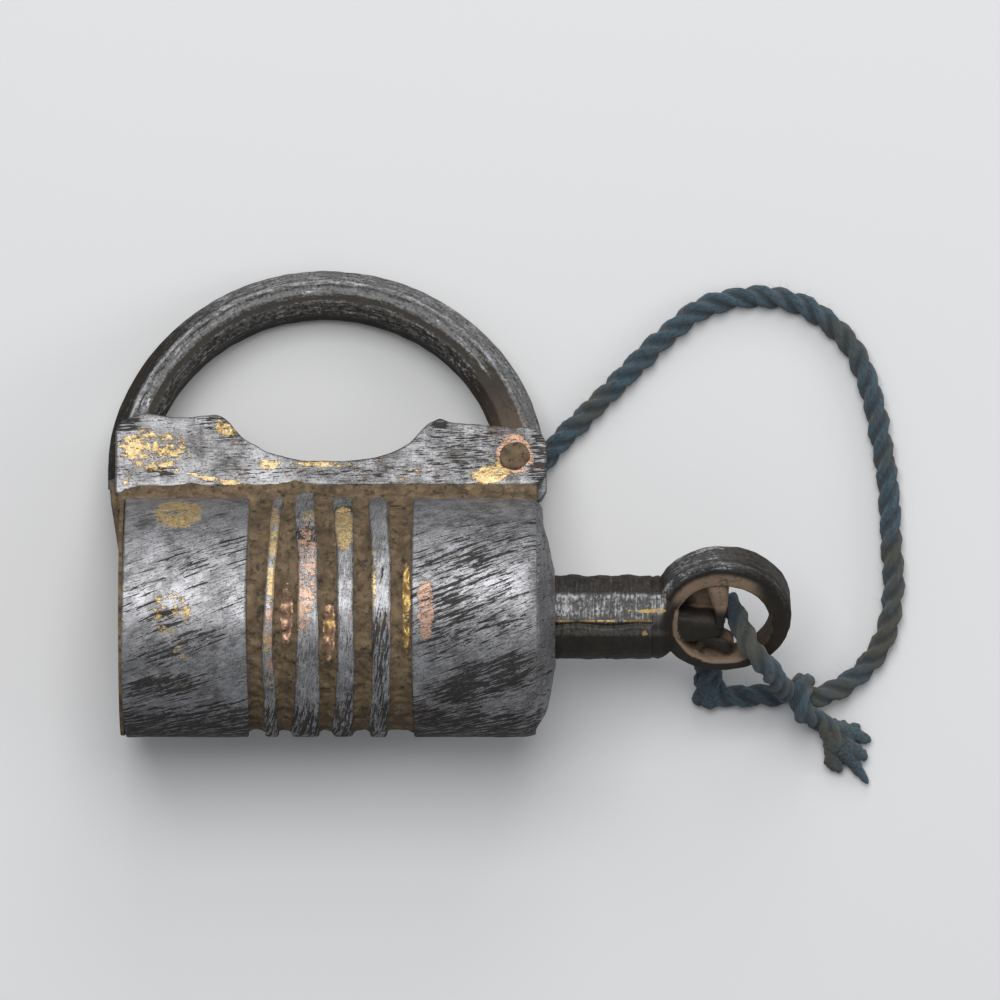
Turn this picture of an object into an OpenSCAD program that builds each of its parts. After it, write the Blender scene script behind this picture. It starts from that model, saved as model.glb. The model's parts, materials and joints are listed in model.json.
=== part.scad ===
// Iron barrel padlock with a riveted swinging shackle, a screw key in its
// right end and a cord tied to the key.
//
// The lock is drawn in a frame of its own: x runs along the barrel from its
// left end, y goes from the barrel's axis towards the shackle, z to the front.
// place_lock() then lays it on its back, resting on the barrel and on the top
// of the shackle, with the front up and the origin under the middle of its box.

/* [Barrel] */
// Length of the barrel without its end dome
barrel_l = 82.4; // [80:0.2:110]
// Diameter over the bands and rings
barrel_d = 48; // [44:0.5:60]
// Depth of the grooves between the rings
groove_depth = 1.7; // [1:0.1:2]
// Wall of the rolled inner tube
tube_wall = 1.8; // [1.4:0.1:2.2]
// Thickness of the left end cap's rim
cap_rim = 0.8; // [0.6:0.1:1.6]
// How far each end cap plugs into the tube
cap_plug = 1.8; // [1.2:0.1:2.4]
// Length of the smooth left band
left_band_l = 24.8; // [22:0.2:28]
// Height of the right end cap's dome
dome_h = 4.8; // [3.6:0.2:6]

/* [Shackle] */
// How much further than the cheeks the bow reaches, both ends together
bow_overhang = 1.4; // [0:0.1:3]
// Width of the forged bar, across the bow
bar_w = 9; // [7:0.2:10]
// Thickness of the forged bar, front to back
bar_t = 9; // [7:0.2:10]
// Height of the bow's centre above the bands
bow_lift = 3.7; // [3:0.1:8]
// Width of the locking tongue
tongue_w = 7; // [6:0.2:7.6]
// Thickness of the locking tongue
tongue_t = 6.8; // [5:0.2:8]
// How far the tongue reaches past the middle of the locking pin
tongue_past_pin = 6; // [5.2:0.1:6.6]
// Gap round the tongue in its slot
tongue_gap = 0.35; // [0.3:0.05:0.6]

/* [Cheeks] */
// Thickness of each cheek plate
cheek_t = 2.6; // [2:0.1:3.5]
// Gap between the shackle bar and each cheek
cheek_gap = 0.5; // [0.4:0.1:0.8]
// Height of the cheeks' tops above their bottom edge, left
cheek_h_left = 14.7; // [12:0.1:18]
// Height of the cheeks' tops above their bottom edge, right
cheek_h_right = 12.9; // [11:0.1:16]
// Height of the cheeks at the bottom of the dip
cheek_h_dip = 5; // [4:0.1:7]
// Half of the dip's width where it starts
dip_half = 20.2; // [16:0.2:24]
// Width of the neck under the cheeks
neck_w = 12; // [9.6:0.2:14]
// Height of the neck above the bands
neck_h = 1.3; // [1:0.1:2.5]

/* [Rivet] */
// Diameter of the hinge rivet's shank
rivet_d = 5; // [4:0.1:6]
// Diameter of its heads
rivet_head_d = 5.8; // [5.4:0.1:9]
// Height of its heads
rivet_head_h = 0.5; // [0.3:0.1:1.5]
// Running gap round the shank, in the shackle's eye
rivet_gap = 0.06; // [0.03:0.01:0.1]
// Distance of the rivet from the barrel's right end
rivet_inset = 3.7; // [3:0.1:8]

/* [Bolt] */
// Stroke of the bolt, from open to locked
bolt_stroke = 8; // [6:0.5:8]
// Diameter of the locking pin
pin_d = 4.8; // [4:0.1:5]
// Distance of the pin's middle from the tube's bore
pin_inset = 2.9; // [2.6:0.1:3.2]
// Thickness of the sliding carrier plate
carrier_t = 3; // [2:0.5:4]
// Diameter of the worm post that the key screws on
post_d = 7.2; // [6:0.2:9]
// Length of the worm post
post_l = 51; // [46:1:54]
// Running gap of sliding pieces
slide_gap = 0.08; // [0.05:0.01:0.1]
// Thickness of the pin's guide plate
guide_t = 2.5; // [2:0.5:3]
// Thickness of the plate that the spring and the key bear on
thrust_t = 2.5; // [2:0.5:4]
// Diameter of the hole in that plate
thrust_hole_d = 12; // [11:0.5:13]
// Length of the spring when the bolt is drawn back
spring_l = 21; // [18:0.5:24]
// Diameter of the spring's wire
spring_wire = 1.6; // [1.2:0.1:2]
// Mean diameter of the spring
spring_d = 15.2; // [14.6:0.2:18]
// Turns of the spring
spring_turns = 5; // [4:1:7]

/* [Key] */
// Outer diameter of the key's tube
key_d = 16.8; // [15:0.2:17.6]
// Bore of the key's tube
key_bore = 12.8; // [12:0.2:13.4]
// Length of the key outside the lock, up to its bow
key_reach = 19; // [14:0.5:30]
// Gap round the key in the keyhole
keyhole_gap = 0.4; // [0.3:0.05:0.8]
// Wall of the guide sleeve round the key
sleeve_wall = 1.8; // [1.4:0.1:2.4]
// Length of the guide sleeve
sleeve_l = 24; // [16:1:26]
// Outer radius of the key's bow
key_bow_r = 13.8; // [12:0.2:16]
// Thickness of the bow's rim at the free end
rim_t = 4.3; // [3:0.1:5]
// Width of the bow's rim
rim_w = 6.5; // [5:0.1:8]
// How far the bow's hole lies off the middle, towards the thin side
hole_shift = 2; // [0:0.1:2.4]
// Width of the web that reaches into the bow
web_w = 5; // [3:0.1:6]
// Thickness of the floor behind the hollows beside the web
hollow_floor_t = 2; // [1.2:0.1:3]
// Angle of the bow about the key's axis, from the level
bow_turn = 38; // [0:1:60]
// Angle by which the bow is bent off the key's axis
bow_skew = 9; // [0:1:15]

/* [Cord] */
// Diameter of the cord
cord_d = 4.6; // [3.6:0.1:4.6]
// Radius of the knot's lobes
knot_r = 5; // [4.6:0.1:5.4]

/* [Hidden] */

iron = "slategray";
dark_iron = "dimgray";
rust = "saddlebrown";
cord_blue = "steelblue";
round_fn = 96;
small_fn = 48;
eps = 0.01;

// widths of the rings, and of the grooves before and after them
ring_widths = [2, 4.2, 3.6, 3.8];
groove_widths = [4, 3.8, 3.4, 3.4, 4.6];

barrel_r = barrel_d / 2;
tube_r = barrel_r - groove_depth;
bore_r = tube_r - tube_wall;
band_end = cap_rim + left_band_l;
function sum(v, n, i = 0) = i < n ? v[i] + sum(v, n, i + 1) : 0;
function ring_start(i) = band_end + sum(groove_widths, i + 1) + sum(ring_widths, i);
right_band_start = ring_start(4);
lock_end = barrel_l + dome_h;
dome_inset = 0.6;
dome_r = barrel_r - dome_inset;
// share of the dome's radius that its flat face takes up
dome_face = 0.62;

// cheeks and rivet
cheek_left = -1.8;
cheek_right = barrel_l + 2.8;
cheek_bottom = barrel_r + neck_h;
cheek_inner = bar_t / 2 + cheek_gap;
cheek_outer = cheek_inner + cheek_t;
cheek_corner = 3;
dip_depth = cheek_h_right - cheek_h_dip;
dip_r = (pow(dip_half, 2) + pow(dip_depth, 2)) / (2 * dip_depth);
eye_r = 6;
eye_gap = 1;
rivet_x = barrel_l - rivet_inset;
rivet_y = cheek_bottom + eye_r;
saddle_h = 1.3;
saddle_top = cheek_bottom + saddle_h;
saddle_left = -2.3;
saddle_right = barrel_l + 1;
lip_bottom = 11;
lip_top = 21.5;

// shackle
bow_left_overhang = 1.1;
bow_r = (cheek_right - cheek_left + bow_overhang) / 2;
bow_rise = barrel_r + bow_lift;
bow_x = cheek_left - bow_left_overhang + bow_r;
dip_shift = 0.5;
dip_x = bow_x + dip_shift;
bar_end_gap = 0.4;
pin_rise = bore_r - pin_inset;
tongue_reach = 1.1;
tongue_r = rivet_x + tongue_reach;
tongue_angle = asin((rivet_y - pin_rise + tongue_past_pin) / tongue_r);
slot_spare_angle = 0.7;
// the bar's facets: the outer ones' depth, the inner ones' depth and width, and half of the ridge outside
facet = 3.2;
inner_facet = 1.6;
inner_facet_w = 2;
ridge_half = 1.2;

// bolt works
pin_tip_gap = 1.3;
pin_tip_x = tongue_w + pin_tip_gap;
pin_in_guide = 1.2;
guide_x = pin_tip_x + pin_in_guide;
carrier_x = 21;
spring_x = carrier_x + carrier_t;
thrust_x = spring_x + spring_l;
post_x = carrier_x;
pin_hole_gap = 0.3;
key_end_gap = 0.1;
key_start = thrust_x + thrust_t + key_end_gap;
key_stop = lock_end + key_reach;
key_plug_l = 8;
sleeve_start = barrel_l - sleeve_l;
sleeve_r = key_d / 2 + slide_gap;
// how far the bow starts past the tube, and how far its stem is turned down
bow_step = 0.4;
bow_start = key_stop + bow_step;
bow_centre = [bow_start + key_bow_r * cos(bow_skew), key_bow_r * sin(bow_skew)];
bow_stem = 4.2;
stem_r = key_d / 2 - bow_step;
hole_centre = bow_centre - [0, hole_shift];
hole_r = key_bow_r - rim_t;
// the web's end and its middle, and the strut from there to the rim, from the bow's middle
web_end = bow_centre[0] + 0.2;
web_y = -0.6;
strut_w = 2;
strut_top = hole_centre[1] + hole_r + 1;

// how the lock lies: the barrel and the back of the bow touch the surface
back_facet = bow_rise + bow_r - facet;
back_reach = norm([back_facet, bar_t / 2]);
lie_tilt = asin(barrel_r / back_reach) - atan(bar_t / 2 / back_facet);
top_y = (bow_rise + bow_r) * cos(lie_tilt);
left_x = bow_x - bow_r;
right_x = bow_centre[0] + key_bow_r;
axis_y = -(top_y - barrel_r) / 2;
origin_x = (left_x + right_x) / 2;

// ---- the cord's route: [x, y, height], in the laid-out frame ----
// The points are for a key bow whose tip is at route_tip and whose axis is route_height up. They move with
// the bow, and the loop through it grows or shrinks with its height.
route_tip = [68.46, -22.44];
route_height = 24;
route_shift = [right_x - origin_x - route_tip[0], axis_y - route_tip[1], 0];
function lifted(p) = [p[0], p[1], p[2] * barrel_r / route_height];
lie = cord_d / 2;
cord_route = [
    [-2, -2, lie], [8, 0, lie], [16, 6, lie], [23.5, 14, lie], [33, 23.5, lie],
    [42.5, 33, lie], [52, 40, lie], [63, 42, lie], [72.5, 39.5, lie], [81, 32, lie],
    [85, 22.5, lie], [87, 13, lie], [88.5, 2.5, lie], [89, -7, lie], [89.5, -17, lie],
    [87.5, -27, lie], [82, -34.5, 2.5], [73, -39, 5]
];
loop_route = [
    [68.5, -38, 7], [67, -36.8, 13.5], [65.5, -35, 19], [64, -32.8, 23.4],
    [61.5, -30, 25.4], [59, -25.6, 23], [57.5, -21.8, 20.8], [56, -19.4, 18],
    [54.5, -20.2, 14.4], [53, -24, 11.6], [52.5, -28.5, 9], [52, -33, 5.6],
    [53, -37, 3.2], [57, -38.6, 2.6], [61, -38.4, 3], [67, -38, 4.5]
];
tail_route = [[74, -43, 4], [77.5, -46.5, 2.8], [81, -50.5, 2.4], [83.5, -55, lie]];
knot_lobes = [[68.5, -38, 5.4], [72.5, -41.5, 5.2]];

function unit(v) = v / norm(v);
function along(p, i) = unit(p[min(i + 1, len(p) - 1)] - p[max(i - 1, 0)]);
function square_to(v, t) = unit(v - (v * t) * t);
// side directions of the rings, each carried on from the one before it
function sides(p, i = 0, last = [0, 0, 1]) =
    i == len(p) ? [] :
    let (s = square_to(last, along(p, i))) concat([s], sides(p, i + 1, s));
function ring_point(c, t, s, r, a) = c + r * (cos(a) * s + sin(a) * cross(t, s));

// a tube of radius r along the points p, closed at both ends
module cord_tube(p, r, n = 10) {
    s = sides(p);
    last = len(p) - 1;
    points = [for (i = [0 : last], k = [0 : n - 1])
        ring_point(p[i], along(p, i), s[i], r, 360 * k / n)];
    walls = [for (i = [0 : last - 1], k = [0 : n - 1])
        let (m = (k + 1) % n) each [
            [i * n + k, (i + 1) * n + m, i * n + m],
            [i * n + k, (i + 1) * n + k, (i + 1) * n + m]]];
    ends = [[for (k = [0 : n - 1]) k], [for (k = [n - 1 : -1 : 0]) last * n + k]];
    polyhedron(points, concat(walls, ends), convexity = 10);
}

// ---- placing and plain shapes ----
module place_lock() {
    translate([-origin_x, axis_y, barrel_r]) rotate([-lie_tilt, 0, 0]) children();
}

// the key's bow plane is set from the level, not from the tilted lock
module place_key() {
    translate([-origin_x, axis_y, barrel_r]) rotate([bow_turn, 0, 0]) children();
}

module rod_x(x0, x1, r, fn = round_fn) {
    translate([x0, 0, 0]) rotate([0, 90, 0]) cylinder(h = x1 - x0, r = r, $fn = fn);
}

module pipe_x(x0, x1, r_out, r_in) {
    difference() {
        rod_x(x0, x1, r_out);
        rod_x(x0 - 1, x1 + 1, r_in);
    }
}

module at_rivet() {
    translate([rivet_x, rivet_y, 0]) children();
}

// a slice of a flat ring about the rivet, r0 to r1, t thick, between two angles
module swing_slice(r0, r1, t, from, to) {
    at_rivet() rotate([0, 0, from]) rotate_extrude(angle = to - from, $fn = 180)
        translate([r0, -t / 2]) square([r1 - r0, t]);
}

// the way that the tongue sweeps through the barrel's wall
module tongue_slot() {
    swing_slice(tongue_r - tongue_w - tongue_gap, tongue_r + tongue_gap,
        tongue_t + 2 * tongue_gap, 178, 180 + tongue_angle + slot_spare_angle);
}

// the space that the neck takes out of the bands and rings
module neck_space() {
    translate([-20, 0, -neck_w / 2]) cube([lock_end + 40, barrel_d, neck_w]);
}

module band(x0, x1) {
    difference() {
        pipe_x(x0, x1, barrel_r, tube_r);
        neck_space();
    }
}

// ---- barrel ----
module barrel_tube() {
    color(iron) place_lock() difference() {
        pipe_x(cap_rim, barrel_l, tube_r, bore_r);
        tongue_slot();
    }
}

module left_band() {
    color(iron) place_lock() band(cap_rim, band_end);
}

module right_band() {
    color(iron) place_lock() band(right_band_start, barrel_l);
}

module ring(i) {
    color(rust) place_lock() band(ring_start(i), ring_start(i) + ring_widths[i]);
}

// a disc plugged into the tube, with a lip that houses the tongue's end
module left_end_cap() {
    color(iron) place_lock() difference() {
        union() {
            rod_x(0, cap_rim, barrel_r - 0.3);
            rod_x(cap_rim - eps, cap_rim + cap_plug, bore_r);
            translate([0, 0, -neck_w / 2]) linear_extrude(neck_w)
                polygon([[0, lip_bottom], [cap_rim / 2, lip_bottom], [cap_rim / 2, lip_top],
                    [lip_slope(lip_top), lip_top]]);
        }
        tongue_slot();
        translate([-5, lip_top, -neck_w / 2]) cube([10, barrel_r, neck_w]);
    }
}

// x of the lip's sloping face at a height y
function lip_slope(y) = saddle_left * (y - lip_bottom) / (cheek_bottom - lip_bottom);

// the right end: a flat face with an oval shoulder, turned round the axis
module right_end_cap() {
    dome = [for (a = [0 : 6 : 90])
        [barrel_l + dome_h * sin(a), dome_r * (dome_face + (1 - dome_face) * cos(a))]];
    color(iron) place_lock() difference() {
        union() {
            rotate([0, 90, 0]) rotate_extrude($fn = round_fn)
                polygon(concat([for (p = dome) [p[1], p[0]]], [[0, lock_end], [0, barrel_l]]));
            rod_x(barrel_l - cap_plug, barrel_l + eps, bore_r);
        }
        rod_x(barrel_l - 10, lock_end + 5, key_d / 2 + keyhole_gap);
        rod_x(barrel_l - cap_plug - 1, barrel_l, sleeve_r + sleeve_wall);
    }
}

module key_guide_sleeve() {
    color(dark_iron) place_lock() pipe_x(sleeve_start, barrel_l, sleeve_r + sleeve_wall, sleeve_r);
}

// ---- cheeks, neck and rivet ----
module cheek_outline() {
    difference() {
        union() {
            translate([cheek_left, cheek_bottom])
                square([dip_x - cheek_left, cheek_h_left]);
            translate([cheek_left, cheek_bottom])
                square([cheek_right - cheek_left, cheek_h_right]);
        }
        translate([dip_x, cheek_bottom + cheek_h_dip + dip_r]) circle(r = dip_r, $fn = 180);
        corner_cut(cheek_left, cheek_bottom + cheek_h_left, 1);
        corner_cut(cheek_right, cheek_bottom + cheek_h_right, -1);
    }
}

// what rounds an upper corner at x, y off; side is 1 at the left, -1 at the right
module corner_cut(x, y, side) {
    translate([x, y]) scale([side, 1]) mirror([0, 1]) difference() {
        translate([-1, -1]) square(cheek_corner + 1);
        translate([cheek_corner, cheek_corner]) circle(r = cheek_corner, $fn = small_fn);
    }
}

module cheek_plate(z0) {
    color(iron) place_lock() difference() {
        translate([0, 0, z0]) linear_extrude(cheek_t) cheek_outline();
        at_rivet() cylinder(h = 4 * barrel_r, r = rivet_d / 2, center = true, $fn = small_fn);
    }
}

module front_cheek() { cheek_plate(cheek_inner); }
module rear_cheek() { cheek_plate(-cheek_outer); }

// brazed between the cheeks and on the tube, slotted for the tongue
module saddle_block() {
    color(rust) place_lock() difference() {
        union() {
            translate([0, 0, -neck_w / 2]) linear_extrude(neck_w)
                polygon([[lip_slope(lip_top), lip_top], [saddle_left, cheek_bottom],
                    [saddle_right, cheek_bottom], [saddle_right, cheek_bottom - 2],
                    [barrel_l, tube_r - 2], [0, tube_r - 2], [0, lip_top]]);
            translate([saddle_left, cheek_bottom - eps, -cheek_inner])
                cube([saddle_right - saddle_left, saddle_h + eps, 2 * cheek_inner]);
        }
        rod_x(-eps, lock_end, tube_r);
        rod_x(barrel_l, lock_end + 5, dome_r);
        tongue_slot();
        at_rivet() cylinder(h = neck_w + 2, r = eye_r + eye_gap, center = true, $fn = round_fn);
    }
}

module hinge_rivet() {
    color(rust) place_lock() at_rivet() union() {
        cylinder(h = 2 * cheek_outer, r = rivet_d / 2, center = true, $fn = small_fn);
        for (side = [-1, 1])
            translate([0, 0, side * (cheek_outer + rivet_head_h / 2)])
                cylinder(h = rivet_head_h, r = rivet_head_d / 2, center = true, $fn = small_fn);
    }
}

// ---- shackle ----
// half-worn octagon: a narrow facet outside, a wide one inside
module bar_section() {
    t = bar_t / 2;
    r0 = bow_r - bar_w;
    polygon([[bow_r, -ridge_half], [bow_r, ridge_half], [bow_r - facet, t], [r0 + inner_facet, t],
        [r0, t - inner_facet_w], [r0, inner_facet_w - t], [r0 + inner_facet, -t],
        [bow_r - facet, -t]]);
}

module shackle() {
    foot = saddle_top + bar_end_gap;
    foot_angle = asin((bow_rise - foot) / (bow_r - bar_w / 2));
    start_angle = atan((rivet_y - bow_rise) / (rivet_x - bow_x));
    color(dark_iron) place_lock() difference() {
        union() {
            translate([bow_x, bow_rise, 0]) rotate([0, 0, start_angle])
                rotate_extrude(angle = 180 + foot_angle - start_angle, $fn = 180) bar_section();
            at_rivet() cylinder(h = bar_t, r = eye_r, center = true, $fn = round_fn);
            swing_slice(tongue_r - tongue_w, tongue_r, tongue_t, 180, 180 + tongue_angle);
        }
        at_rivet() cylinder(h = bar_t + 2, r = rivet_d / 2 + rivet_gap, center = true, $fn = small_fn);
        translate([0, pin_rise, 0]) rod_x(-5, 15, pin_d / 2 + pin_hole_gap, small_fn);
    }
}

// ---- bolt works inside the barrel ----
module pin_guide_plate() {
    color(dark_iron) place_lock() difference() {
        rod_x(guide_x, guide_x + guide_t, bore_r);
        translate([0, pin_rise, 0])
            rod_x(guide_x - 1, guide_x + guide_t + 1, pin_d / 2 + slide_gap, small_fn);
    }
}

module thrust_plate() {
    color(dark_iron) place_lock() pipe_x(thrust_x, thrust_x + thrust_t, bore_r, thrust_hole_d / 2);
}

module bolt_spring() {
    steps = 12;
    rise = spring_l - spring_wire;
    helix = [for (i = [0 : spring_turns * steps])
        [spring_x + spring_wire / 2 + rise * i / (spring_turns * steps),
            spring_d / 2 * cos(360 * i / steps), spring_d / 2 * sin(360 * i / steps)]];
    color(iron) place_lock() cord_tube(helix, spring_wire / 2, 8);
}

module bolt_carrier() {
    color(dark_iron) place_lock() difference() {
        rod_x(carrier_x, carrier_x + carrier_t, bore_r - slide_gap);
        rod_x(carrier_x - 1, carrier_x + carrier_t + 1, post_d / 2);
        translate([0, pin_rise, 0])
            rod_x(carrier_x - 1, carrier_x + carrier_t + 1, pin_d / 2, small_fn);
    }
}

module locking_pin() {
    color(iron) place_lock() translate([0, pin_rise, 0])
        rod_x(pin_tip_x, carrier_x + carrier_t, pin_d / 2, small_fn);
}

module worm_post() {
    color(iron) place_lock() rod_x(post_x, post_x + post_l, post_d / 2);
}

// ---- key ----
module key_tube() {
    color(dark_iron) place_key() pipe_x(key_start, key_stop, key_d / 2, key_bore / 2);
}

module key_plug() {
    color(dark_iron) place_key() rod_x(key_stop - key_plug_l, key_stop, key_bore / 2);
}

// a round rim with an off-centre hole, a web that the stem sends into it, and a strut between the two
module bow_outline() {
    difference() {
        translate(bow_centre) circle(r = key_bow_r, $fn = round_fn);
        translate(hole_centre) circle(r = hole_r, $fn = round_fn);
    }
    translate([bow_start, web_y - web_w / 2]) square([web_end - bow_start, web_w]);
    translate([web_end - strut_w, web_y]) square([strut_w, strut_top - web_y]);
}

// the floor of the hollows above and below the web, up to the strut
module hollow_floor() {
    intersection() {
        translate(hole_centre) circle(r = hole_r + 1, $fn = round_fn);
        translate([bow_start, hole_centre[1] - key_bow_r])
            square([web_end - strut_w - bow_start + 1, 2 * key_bow_r]);
    }
}

module key_bow() {
    color(dark_iron) place_key() union() {
        translate([0, 0, -rim_w / 2]) linear_extrude(rim_w) bow_outline();
        translate([0, 0, -rim_w / 2]) linear_extrude(hollow_floor_t) hollow_floor();
        rod_x(key_stop, key_stop + bow_stem, stem_r);
    }
}

// ---- cord ----
module cord() {
    color(cord_blue) translate(route_shift) cord_tube(cord_route, cord_d / 2);
}

module cord_knot() {
    color(cord_blue) translate(route_shift) hull() {
        for (c = knot_lobes) translate(c) sphere(r = knot_r, $fn = 16);
    }
}

module cord_bow_loop() {
    color(cord_blue) translate(route_shift)
        cord_tube([for (p = loop_route) lifted(p)], cord_d / 2);
}

module cord_frayed_end() {
    color(cord_blue) translate(route_shift) cord_tube(tail_route, cord_d / 2);
}

barrel_tube();
left_band();
right_band();
ring(0);  // ring_1
ring(1);  // ring_2
ring(2);  // ring_3
ring(3);  // ring_4
left_end_cap();
right_end_cap();
key_guide_sleeve();
saddle_block();
front_cheek();
rear_cheek();
hinge_rivet();
pin_guide_plate();
thrust_plate();
bolt_spring();
shackle();
bolt_carrier();
locking_pin();
worm_post();
key_tube();
key_plug();
key_bow();
cord();
cord_knot();
cord_bow_loop();
cord_frayed_end();
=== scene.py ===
"""Iron barrel padlock with a screw key and a tied cord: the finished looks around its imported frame.

Lengths in the shape functions are in millimetres in the lock's own frame: x runs along the barrel from its
left end, u goes from the barrel's axis towards the shackle, w comes out of the lock's front. place() turns
them into the laid-out frame, in metres. A shape is a grid of points worked out with numpy.
"""
import json
import math

import bpy
import numpy as np
from bpy.props import FloatProperty, FloatVectorProperty, IntProperty, PointerProperty
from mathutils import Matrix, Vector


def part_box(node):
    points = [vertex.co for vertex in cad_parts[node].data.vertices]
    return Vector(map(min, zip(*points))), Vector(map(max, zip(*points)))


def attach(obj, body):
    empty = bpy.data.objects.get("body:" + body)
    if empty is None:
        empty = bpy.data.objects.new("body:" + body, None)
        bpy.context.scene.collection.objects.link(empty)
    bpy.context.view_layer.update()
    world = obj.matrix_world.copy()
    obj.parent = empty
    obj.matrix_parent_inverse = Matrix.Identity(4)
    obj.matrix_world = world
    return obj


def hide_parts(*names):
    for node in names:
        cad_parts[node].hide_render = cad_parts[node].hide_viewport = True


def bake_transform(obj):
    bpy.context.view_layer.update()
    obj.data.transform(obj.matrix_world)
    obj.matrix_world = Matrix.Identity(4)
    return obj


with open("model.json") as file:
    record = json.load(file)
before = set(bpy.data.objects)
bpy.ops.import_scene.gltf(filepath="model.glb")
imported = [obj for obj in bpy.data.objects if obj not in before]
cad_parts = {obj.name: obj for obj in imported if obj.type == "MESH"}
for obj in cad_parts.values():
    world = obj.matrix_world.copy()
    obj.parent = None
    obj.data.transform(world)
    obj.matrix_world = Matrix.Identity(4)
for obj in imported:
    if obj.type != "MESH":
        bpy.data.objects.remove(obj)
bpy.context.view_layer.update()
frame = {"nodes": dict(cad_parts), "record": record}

bl_info = {
    "name": "Screw-key padlock",
    "version": (1, 0, 0),
    "blender": (4, 5, 0),
    "location": "View3D > Sidebar > Padlock",
    "description": "Builds a forged iron barrel padlock with its screw key and cord",
    "category": "Add Mesh",
}

MM = 0.001
JOINTS = {j["name"]: j for j in frame["record"]["behaviour"]["joints"]}

# ---- directions and places, from the frame ----
FRONT = -np.array(JOINTS["shackle_swing"]["axis"], float)
FRONT /= np.linalg.norm(FRONT)
ALONG = np.array([1.0, 0.0, 0.0])
TOWARDS_BOW = np.cross(FRONT, ALONG)
TILT = math.atan2(FRONT[1], FRONT[2])
CAP_RIM = 0.8
AXIS = np.array(JOINTS["key_turn"]["pos_m"], float)
ORIGIN = np.array([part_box("barrel_tube")[0][0] - CAP_RIM * MM, AXIS[1], AXIS[2]])


def inward(point):
    """A place in the laid-out frame, in metres, as x, u and w in millimetres."""
    d = (np.asarray(point, float) - ORIGIN) / MM
    return float(d @ ALONG), float(d @ TOWARDS_BOW), float(d @ FRONT)


def span(node):
    """A node's lowest and highest x, in millimetres from the barrel's left end."""
    low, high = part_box(node)
    return (low[0] - ORIGIN[0]) / MM, (high[0] - ORIGIN[0]) / MM


def half_height(node):
    """Half of a node's height, in millimetres: the radius of a round one that lies along the barrel."""
    low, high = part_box(node)
    return (high[2] - low[2]) / 2 / MM


RIVET_X, RIVET_U, _ = inward(JOINTS["shackle_swing"]["pos_m"])
BAND_R, TUBE_R, KEY_R, KEY_BORE_R = map(half_height, ("left_band", "barrel_tube", "key_tube", "key_plug"))
BARREL_END = span("barrel_tube")[1]
DOME_END = span("right_end_cap")[1]
KEY_FROM, KEY_TO = span("key_tube")
# the cheeks' inner and outer faces and half the neck's thickness, from the lock's middle plane
CHEEK_IN, CHEEK_OUT = 5.0, 7.6
NECK_HALF = 6.0
# the middle of the shackle's round bow
BOW_X, BOW_U = 41.0, 27.9
PIN_U = inward((np.array(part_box("locking_pin")[0]) + np.array(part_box("locking_pin")[1])) / 2)[1]
PIN_HOLE_R = 2.7

# ---- the cord's route, in metres in the laid-out frame: the same points as the solid cord's ----
CORD_ROUTE = [
    (-0.002, -0.002, 0.0023), (0.008, 0, 0.0023), (0.016, 0.006, 0.0023), (0.0235, 0.014, 0.0023),
    (0.033, 0.0235, 0.0023), (0.0425, 0.033, 0.0023), (0.052, 0.040, 0.0023), (0.063, 0.042, 0.0023),
    (0.0725, 0.0395, 0.0023), (0.081, 0.032, 0.0023), (0.085, 0.0225, 0.0023), (0.087, 0.013, 0.0023),
    (0.0885, 0.0025, 0.0023), (0.089, -0.007, 0.0023), (0.0895, -0.017, 0.0023),
    (0.0875, -0.027, 0.0023), (0.082, -0.0345, 0.0025), (0.073, -0.039, 0.005),
]
LOOP_ROUTE = [
    (0.0685, -0.038, 0.007), (0.067, -0.0368, 0.0135), (0.0655, -0.035, 0.019), (0.064, -0.0328, 0.0234),
    (0.0615, -0.030, 0.0254), (0.059, -0.0256, 0.023), (0.0575, -0.0218, 0.0208), (0.056, -0.0194, 0.018),
    (0.0545, -0.0202, 0.0144), (0.053, -0.024, 0.0116), (0.0525, -0.0285, 0.009), (0.052, -0.033, 0.0056),
    (0.053, -0.037, 0.0032), (0.057, -0.0386, 0.0026), (0.061, -0.0384, 0.003), (0.067, -0.038, 0.003),
]
# once round the standing part: under it, up its far side, over it and down
HITCH_ROUTE = [(0.0708, -0.0362, 0.0045), (0.0713, -0.0360, 0.0076), (0.0706, -0.0388, 0.0100),
               (0.0712, -0.0418, 0.0082)]
TAIL_ROUTE = [(0.074, -0.043, 0.004), (0.0775, -0.0465, 0.0028), (0.0792, -0.0484, 0.0025)]
# the sharp bend under the key's bow, where the cord is loosened
CORD_BEND = (0.0522, -0.035, 0.004)
# the stain of clean cord, and where it is stained: nearest spot seen from above, past that share of the
# cord, reach and strength
CLEAN = -0.45
STAINS = [((0.0845, -0.031), 0.3, 0.012, 1.3), ((0.0895, -0.014), 0.3, 0.012, 0.3),
          ((0.0885, 0.003), 0.3, 0.010, 0.4), ((0.0605, -0.028), 0.6, 0.007, 1.1),
          ((0.033, 0.0235), 0.0, 0.010, 0.4), ((0.0725, 0.0395), 0.0, 0.010, 0.5)]


# ---- points and meshes ----
def place(x, u, w):
    """Points x, u, w of the lock's frame, in the laid-out frame in metres; the three may be arrays."""
    x, u, w = np.broadcast_arrays(x, u, w)
    return ORIGIN + MM * (x[..., None] * ALONG + u[..., None] * TOWARDS_BOW + w[..., None] * FRONT)


def place_round(x, r, level):
    """Points at radius r about the barrel's axis; level is the angle from +Y towards the camera's side."""
    x, r, level = np.broadcast_arrays(x, r, level)
    out = np.stack([x, r * np.cos(level), r * np.sin(level)], -1)
    return ORIGIN + MM * out


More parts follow.
